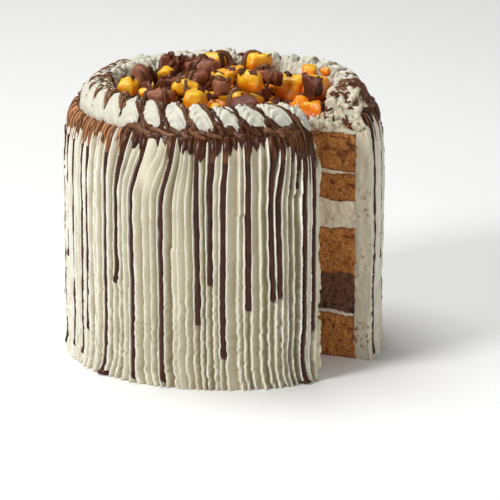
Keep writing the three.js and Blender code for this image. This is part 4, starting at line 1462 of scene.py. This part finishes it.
def height_map(points):
    """The highest point over each square of a map, with gaps filled from the squares around."""
    size = round(2 * CAKE_RADIUS / CELL)
    place = square_of(points[:, :2])
    grid = np.full((size, size), CAKE_TOP + 1.0)
    np.maximum.at(grid, (place[:, 0], place[:, 1]), points[:, 2])
    around = [np.roll(grid, shift, axis) for axis in (0, 1) for shift in (-1, 1)]
    return np.maximum(grid, np.median(around, axis=0))


HEAP = height_map(np.concatenate(heap_points))


def heap_height(x, y):
    """The heap's top at a place, from the map."""
    place = square_of(np.stack([x, y], axis=-1))
    return HEAP[place[..., 0], place[..., 1]]


def scattered(random, count, reach):
    """Places on the heap: random turns and radii, at the heap's own height."""
    turn = random.uniform(FIRST_TURN + 4, LAST_TURN - 4, count)
    place = on_turn(turn, reach * np.sqrt(random.uniform(0.02, 1, count)), 0.0)
    place[:, 2] = heap_height(place[:, 0], place[:, 1])
    return place


print("the heap's highest place:", round(float(HEAP.max()), 1), "mm")

# %% [markdown]
# When a bar is broken it leaves flat splinters with sharp edges. A cube whose corners are pushed
# about and that is then flattened looks like one, and it must not be smoothed: flat shading is
# what makes chocolate look snapped.

# %% Shards and splinters
def shards(name, places, sizes, seed):
    """Small broken bits of chocolate: cubes with pushed corners, stretched, turned, and with flat
    sides."""
    random = np.random.default_rng(seed)
    lattice = np.stack(np.meshgrid(*(np.array([-1.0, 1]),) * 3, indexing="ij"), axis=-1)
    unit, faces, _ = block(lattice)
    all_points = []
    for place, size in zip(places, sizes):
        rotation = random_rotation(random)
        pushed = unit + random.uniform(-0.75, 0.75, unit.shape)
        stretched = pushed * random.uniform((0.3, 0.3, 0.1), (0.8, 0.6, 0.3)) * size
        all_points.append(stretched @ rotation.T + place)
    quads = np.concatenate([faces[0] + k * len(unit) for k in range(len(places))])
    piece = make_piece(name, np.concatenate(all_points), [quads], chocolate_piece, "chocolate_piece",
                       tone=0.5, edge=0.1)
    piece.data.polygons.foreach_set("use_smooth", np.zeros(len(quads), dtype=bool))
    return piece


SHARDS = 80
random = np.random.default_rng(31)
shards("chocolate_shards", scattered(random, SHARDS, 62), random.uniform(1.8, 4.4, SHARDS), 32)

# %% [markdown]
# Small lumps of mango and chocolate lie in the gaps, where real dice broke. They are too small for
# the blocks' fine grid, so each is a stretched ball with a few dents. The same form serves for
# torn cream and for crumbs of sponge, with other sizes and another finish.

# %% Small pieces that fill the heap
def lumps(name, places, look, slot, seed, tones, sizes, roundness=0.75, dents=0.25, rings=9, around=14):
    """Small lumps: balls whose radius is stretched three ways and dented by noise. A power of a
    ball's coordinates below one makes it more like a cube. Each lump has one tone of its own, and
    crumbs in patches."""
    random = np.random.default_rng(seed)
    ball = ball_rings(np.linspace(0.25, math.pi - 0.25, rings), around)
    place_on_ball = xyz(ball)
    points, tone, crumbs = [], [], []
    for number, place in enumerate(places):
        rotation = random_rotation(random)
        shape = np.sign(ball) * np.abs(ball) ** roundness * random.uniform(*sizes, 3)
        shape = shape * (1 + dents * bumps(0.7, seed + number, *place_on_ball))[..., None]
        points.append(shape @ rotation.T + place)
        crumbs.append(0.4 * np.clip(bumps(0.6, seed + number + 7, *place_on_ball), 0, 1))
        tone.append(np.full((rings, around), random.uniform(*tones)))
    faces = joined(shell_faces(rings, around, k * rings * around) for k in range(len(places)))
    return make_piece(name, points, faces, look, slot, tone=tone, edge=0.1, crumbs=crumbs)


def low_places(seed, count):
    """The lowest of many random places on the heap, where gaps are."""
    places = scattered(np.random.default_rng(seed), count * 3, 60)
    return places[np.argsort(places[:, 2])[:count]] + [0, 0, 0.8]


lumps("mango_lumps", low_places(51, 110), mango, "mango", 51, (0.05, 0.7), (2.2, 4.6))
lumps("chocolate_lumps", low_places(53, 28), chocolate_piece, "chocolate_piece", 53, (0, 1), (2.2, 4.6))

# %% [markdown]
# Beside the open wedge the ring and the top are torn. Rounded flakes of cream, broken chocolate
# and crumbs of sponge lie there, most of them at the far cut face. Sculpting would make them
# softer, but a rule that draws their places near the cut keeps the piece easy to change.

# %% Torn cream and crumbs at the cut
FAR_SHARE = 0.75             # how much of what was torn lies at the far cut face
RING_INNER_FOOT = 67.0


def torn_places(seed, count, on_ring):
    """Places within some degrees of a cut face, on the ring or on the flat top: three quarters of
    them at the far face, and closer together towards it."""
    random = np.random.default_rng(seed)
    away = 0.5 + (9 if on_ring else 5) * random.uniform(size=count) ** 1.6
    far = random.uniform(size=count) < FAR_SHARE
    turn = np.where(far, FIRST_TURN + away, LAST_TURN - 0.5 * away)
    if on_ring:
        return ring_surface(turn, random.uniform(25, 160, count), -0.6)
    return on_turn(turn, random.uniform(24, RING_INNER_FOOT, count), CAKE_TOP + 0.5)


def torn_edge(seed, count):
    """Places along the upper edge of a cut face, most of them at the far one, also where the
    ring's foot meets the flat top."""
    random = np.random.default_rng(seed)
    turn = np.where(random.uniform(size=count) < FAR_SHARE, FIRST_TURN, LAST_TURN)
    turn = turn + random.uniform(-0.3, 0.3, count)
    r = random.uniform(22, 90, count)
    at_ring, on_top = random.uniform(147, 156, count), random.uniform(145, 151, count)
    return on_turn(turn, r, np.where(r > RING_INNER_FOOT, at_ring, on_top))


torn = np.concatenate([torn_places(61, 34, True), torn_places(62, 24, False), torn_edge(70, 72)])
lumps("torn_cream", torn, whipped_cream, "whipped_cream", 63, (0, 0), (0.7, 3.6), 0.95, 0.8)
crumbs = np.concatenate([torn_places(64, 30, False), torn_edge(71, 40)])
lumps("sponge_crumbs", crumbs, sponge, "sponge", 65, (0, 0), (0.5, 1.5), rings=5, around=7)
random = np.random.default_rng(66)
torn_bits = [torn_places(67, 16, True), torn_places(68, 14, False), torn_edge(72, 16)]
torn_bits = np.concatenate(torn_bits) + [0, 0, 1.0]
shards("torn_shards", torn_bits, random.uniform(1.6, 5.2, len(torn_bits)), 69)

# %% [markdown]
# Last of all, more chocolate was drizzled over the heap. A strand that sets bridges the gaps
# between dice instead of falling into them. Averaging its height along its way does just that,
# after each point was raised to the highest thing near it.

# %% Chocolate drizzled over the heap
HEAP_STRANDS = 44
HEAP_REACH = 62.0            # no strand goes further from the axis
NEAR, SMOOTHED = 10, 5       # how many points on either side a strand's height is averaged over


def average(values, reach):
    """Each value's mean with its neighbours, as many on either side as `reach`."""
    padded = np.pad(values, reach, mode="edge")
    return np.convolve(padded, np.ones(2 * reach + 1) / (2 * reach + 1), mode="valid")


def heap_drizzle():
    """Wavy strands over the heap, thicker and thinner along their way. A strand that would leave
    the heap is left out."""
    random = np.random.default_rng(37)
    share = np.linspace(0, 1, 60)
    paths, radii, milk = [], [], []
    for number in range(HEAP_STRANDS):
        turn = random.uniform(FIRST_TURN + 15, LAST_TURN - 15)
        start = on_turn(turn, 56 * math.sqrt(random.uniform(0.02, 1)), 0.0)
        heading = random.uniform(-0.9, 0.9) + math.pi * (number % 2)
        length = random.uniform(10, 26)
        bend = heading + 1.8 * bumps(1, 700 + number, share * 2.5)
        x = start[0] + np.cumsum(np.cos(bend)) * length / len(share)
        y = start[1] + np.cumsum(np.sin(bend)) * length / len(share)
        if np.hypot(x, y).max() > HEAP_REACH:
            continue
        z = heap_height(x, y)
        z = average(np.maximum(z, average(z, NEAR)), SMOOTHED)
        paths.append(np.stack([x, y, z - 0.2], axis=-1))
        ends = np.sqrt(np.clip(np.minimum(share, 1 - share) * 8, 0.03, 1))
        radii.append(random.uniform(0.8, 2.3) * ends * (1 + 0.4 * bumps(1, 800 + number, share * 7)))
        milk.append(random.uniform(0.02, 0.22))
    return strands("heap_drizzle", paths, radii, milk)


heap_drizzle()

# %% [markdown]
# ## Layers inside the cake
# The cut faces show four sponges with cream, mousse and mango between them. Each layer is a block
# that goes out from the axis, round the cake and up. Only its cut faces are fine, a point every
# half millimetre, because the rest is inside. The crumb is real relief there: soft dents, and
# pores where the noise is high.

# %% The surfaces between layers
CORE_RADIUS = 87.6           # of sponges and fillings, just inside the coat
LAYER_ROW = 0.55             # the height of a row of points on a cut face
LAYER_DEGREE = 1.7           # about as many millimetres go to a degree at a layer's rim
LEVELS = [   # a layer's name and kind, its top at the axis and at the rim, and how wavy that top is
    ("sponge_base", "sponge", 26, 28, 0.3), ("cream_lower", "cream", 30.6, 29.4, 0.3),
    ("chocolate_filling", "mousse", 54, 53, 0.8), ("sponge_middle", "sponge", 84, 83.4, 0.8),
    ("cream_filling", "cream", 102, 101.4, 0.9), ("sponge_upper", "sponge", 118, 117.2, 0.4),
    ("cream_upper", "cream", 120.4, 119.2, 0.4), ("sponge_top", "sponge", 143, 143, 0.0),
]
RADII = np.concatenate([[0.4], np.linspace(1, CORE_RADIUS, 145)])
TURNS = np.concatenate([[FIRST_TURN, FIRST_TURN + 1.2], np.linspace(FIRST_TURN + 6, LAST_TURN - 6, 14),
                        [LAST_TURN - 1.2, LAST_TURN]])


def level_at(number, r, turn):
    """The top of a layer: a line from axis to rim, a slow wave, and a ragged edge on top."""
    if number < 0:
        return 0 * r + 0 * turn
    axis, rim, wave = LEVELS[number][2:]
    slow = axis + (rim - axis) * r / CORE_RADIUS
    slow = slow + wave * np.minimum(1, r / 20) * np.sin(0.13 * r + 0.09 * turn + axis)
    along = turn * LAYER_DEGREE
    if wave == 0:
        return slow + 1.8 * bumps(9, 309, r, along) + 1.0 * bumps(2.2, 310, r, along)
    return slow + 0.8 * bumps(6, 300 + number, r, along) + 0.45 * bumps(2, 320 + number, r, along)


print("layers:", len(LEVELS), "and the highest one ends at", LEVELS[-1][2], "mm")

# %% [markdown]
# Sponge is full of holes, mousse is fine and cream is smeared by the cut. Three numbers for each
# kind say how deep its broad dents, its crumb and its pores are. Real holes would need far more
# points than a mesh of this kind can carry, so the small ones are left to the finish, which paints
# shade into the pores.

# %% The layers and their crumb
KINDS = {     # depth of broad dents, crumb and pores in mm, then the finish and the slot
    "sponge": (0.5, 0.38, 1.5, sponge, "sponge"),
    "mousse": (0.4, 0.3, 0.8, mousse, "mousse"),
    "cream": (1.1, 0.4, 0.5, filling_cream, "filling_cream"),
}


def crumb(kind, r, z, seed):
    """How far a cut face stands out: broad dents and fine crumb, less the depth of its pores; and
    the pores' mask, which paints shade into them.
    """
    broad, fine, deep = KINDS[kind][:3]
    out = broad * bumps(9, seed, r, z) + fine * bumps(1.7, seed + 1, r, z)
    out = out + 0.5 * fine * bumps(3.6, seed + 2, r, z)
    pore = np.clip(bumps(2.1, seed + 3, r, z) - 0.42, 0, 1)
    pore = pore + np.clip(bumps(4.3, seed + 4, r, z) - 0.62, 0, 1)
    return out - deep * pore, np.clip(pore * 2.2, 0, 1)


def make_layer(number):
    """A layer as a block: radius, turn and height. Both cut faces are moved by their crumb, which
    is read 200 mm further out for one of them, so that they aren't alike."""
    name, kind = LEVELS[number][:2]
    r, turn = RADII[:, None], TURNS[None, :]
    low = level_at(number - 1, r, turn)
    high = level_at(number, r, turn)
    rows = max(4, round(float((high - low).mean()) / LAYER_ROW))
    z = low[..., None] + (high - low)[..., None] * np.linspace(0, 1, rows)
    other_face = (TURNS > 200)[None, :, None]
    out, pore = crumb(kind, r[..., None] + 200 * other_face, z, 340 + 10 * number)
    fade = smooth(np.minimum(r, CORE_RADIUS - r)[..., None], -0.2, 1.5)
    sign = np.zeros(len(TURNS))
    sign[0], sign[-1] = -1, 1
    across = on_turn(TURNS + 90, 1.0, 0.0)[None, :, None, :]
    step = (sign[None, :, None] * out * fade)[..., None] * across
    rim = 0.5 + 1.4 * bumps(2.6, 335, z, turn[..., None] * LAYER_DEGREE)
    rim = rim * smooth(r, 83, CORE_RADIUS)[..., None]
    points, faces, used = block(on_turn(turn[..., None], r[..., None] + rim, z) + step)
    edge = np.minimum(z - low[..., None], high[..., None] - z)
    crust = (kind == "sponge") * 0.75 * np.exp(-((edge / 1.1) ** 2))
    # the pore mark paints shade into the pores
    return make_piece(name + "_crumb", points, faces, *KINDS[kind][3:], [name],
                      pore=pore.ravel()[used], crust=crust.ravel()[used])


for number in range(len(LEVELS)):
    make_layer(number)

# %% [markdown]
# The wide cream layer holds pieces of mango that were cut through. Their flat side lies in the cut
# face. They are made like the dice of the heap, but from solids that end there.

# %% Mango in the filling
filling_nodes = sorted(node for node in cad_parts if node.startswith("filling_mango"))


def filling_mango():
    """The cut pieces of mango, each a soft form, moved a little out of its cut face."""
    random = np.random.default_rng(41)
    points = []
    for node in filling_nodes:
        middle, ways, reach, _ = rounded(node, 12, random, 1.04)
        out = out_of_face(FIRST_TURN if "far" in node else LAST_TURN)
        place = middle + ways * reach[:, None] + 0.9 * out
        points.append(place + (0.3 * bumps(4, 91, *place.T))[:, None] * ways)
    return make_piece("filling_mango", points, unit_faces(len(points)), mango, "mango", filling_nodes,
                      tone=0.75, edge=0)


filling_mango()

# %% [markdown]
# ## Studio
# The photograph is bright, with soft shadows to the right: a key light on the left, one large
# light overhead, a weak fill in front, and a little white from all round. An image of a room could
# light the cake too, but a scene that needs no file is easier to pass on. A pale floor gives the
# cake something to stand on and throws light up at its foot.

# %% Floor and light
FLOOR_HALF = 6.0             # in metres, like all lengths of this cell
WORLD_STRENGTH = 0.125
MIDDLE_OF_CAKE = Vector((0, 0, 0.09))


def floor_nodes(tree):
    """Almost white, in two tones that are hard to tell apart."""
    tones = (0.2, colour(250, 250, 249)), (0.8, colour(254, 254, 253))
    return {"Base_Color": ramp(tree, noise_at(tree, 2, 2), *tones)}


floor_mesh = bpy.data.meshes.new("floor")
floor_corners = [(x * FLOOR_HALF, y * FLOOR_HALF, 0) for x, y in ((-1, -1), (1, -1), (1, 1), (-1, 1))]
floor_mesh.from_pydata(floor_corners, [], [(0, 1, 2, 3)])
floor_mesh.materials.append(finish("pale_floor", floor_nodes, Roughness=0.8))
floor = bpy.data.objects.new("floor", floor_mesh)
bpy.context.scene.collection.objects.link(floor)


def soft_light(name, place, size, power):
    """A square light that looks at the middle of the cake."""
    data = bpy.data.lights.new(name, "AREA")
    data.size, data.energy = size, power
    lamp = bpy.data.objects.new(name, data)
    lamp.location = place
    lamp.rotation_euler = (MIDDLE_OF_CAKE - lamp.location).to_track_quat("-Z", "Y").to_euler()
    bpy.context.scene.collection.objects.link(lamp)
    return lamp


soft_light("key", (-1.12, -0.9, 0.95), 0.45, 18.5)
soft_light("overhead", (-0.5, 0.5, 2.2), 1.6, 40)
soft_light("fill", (0.8, -1.4, 0.4), 0.7, 4.6)
world = bpy.data.worlds.new("studio")
world.use_nodes = True
background = world.node_tree.nodes["Background"].inputs
background["Color"].default_value = (1, 1, 1, 1)
background["Strength"].default_value = WORLD_STRENGTH
bpy.context.scene.world = world
bpy.context.scene.view_settings.view_transform = "Standard"
print("lights:", [light.name for light in bpy.data.lights])
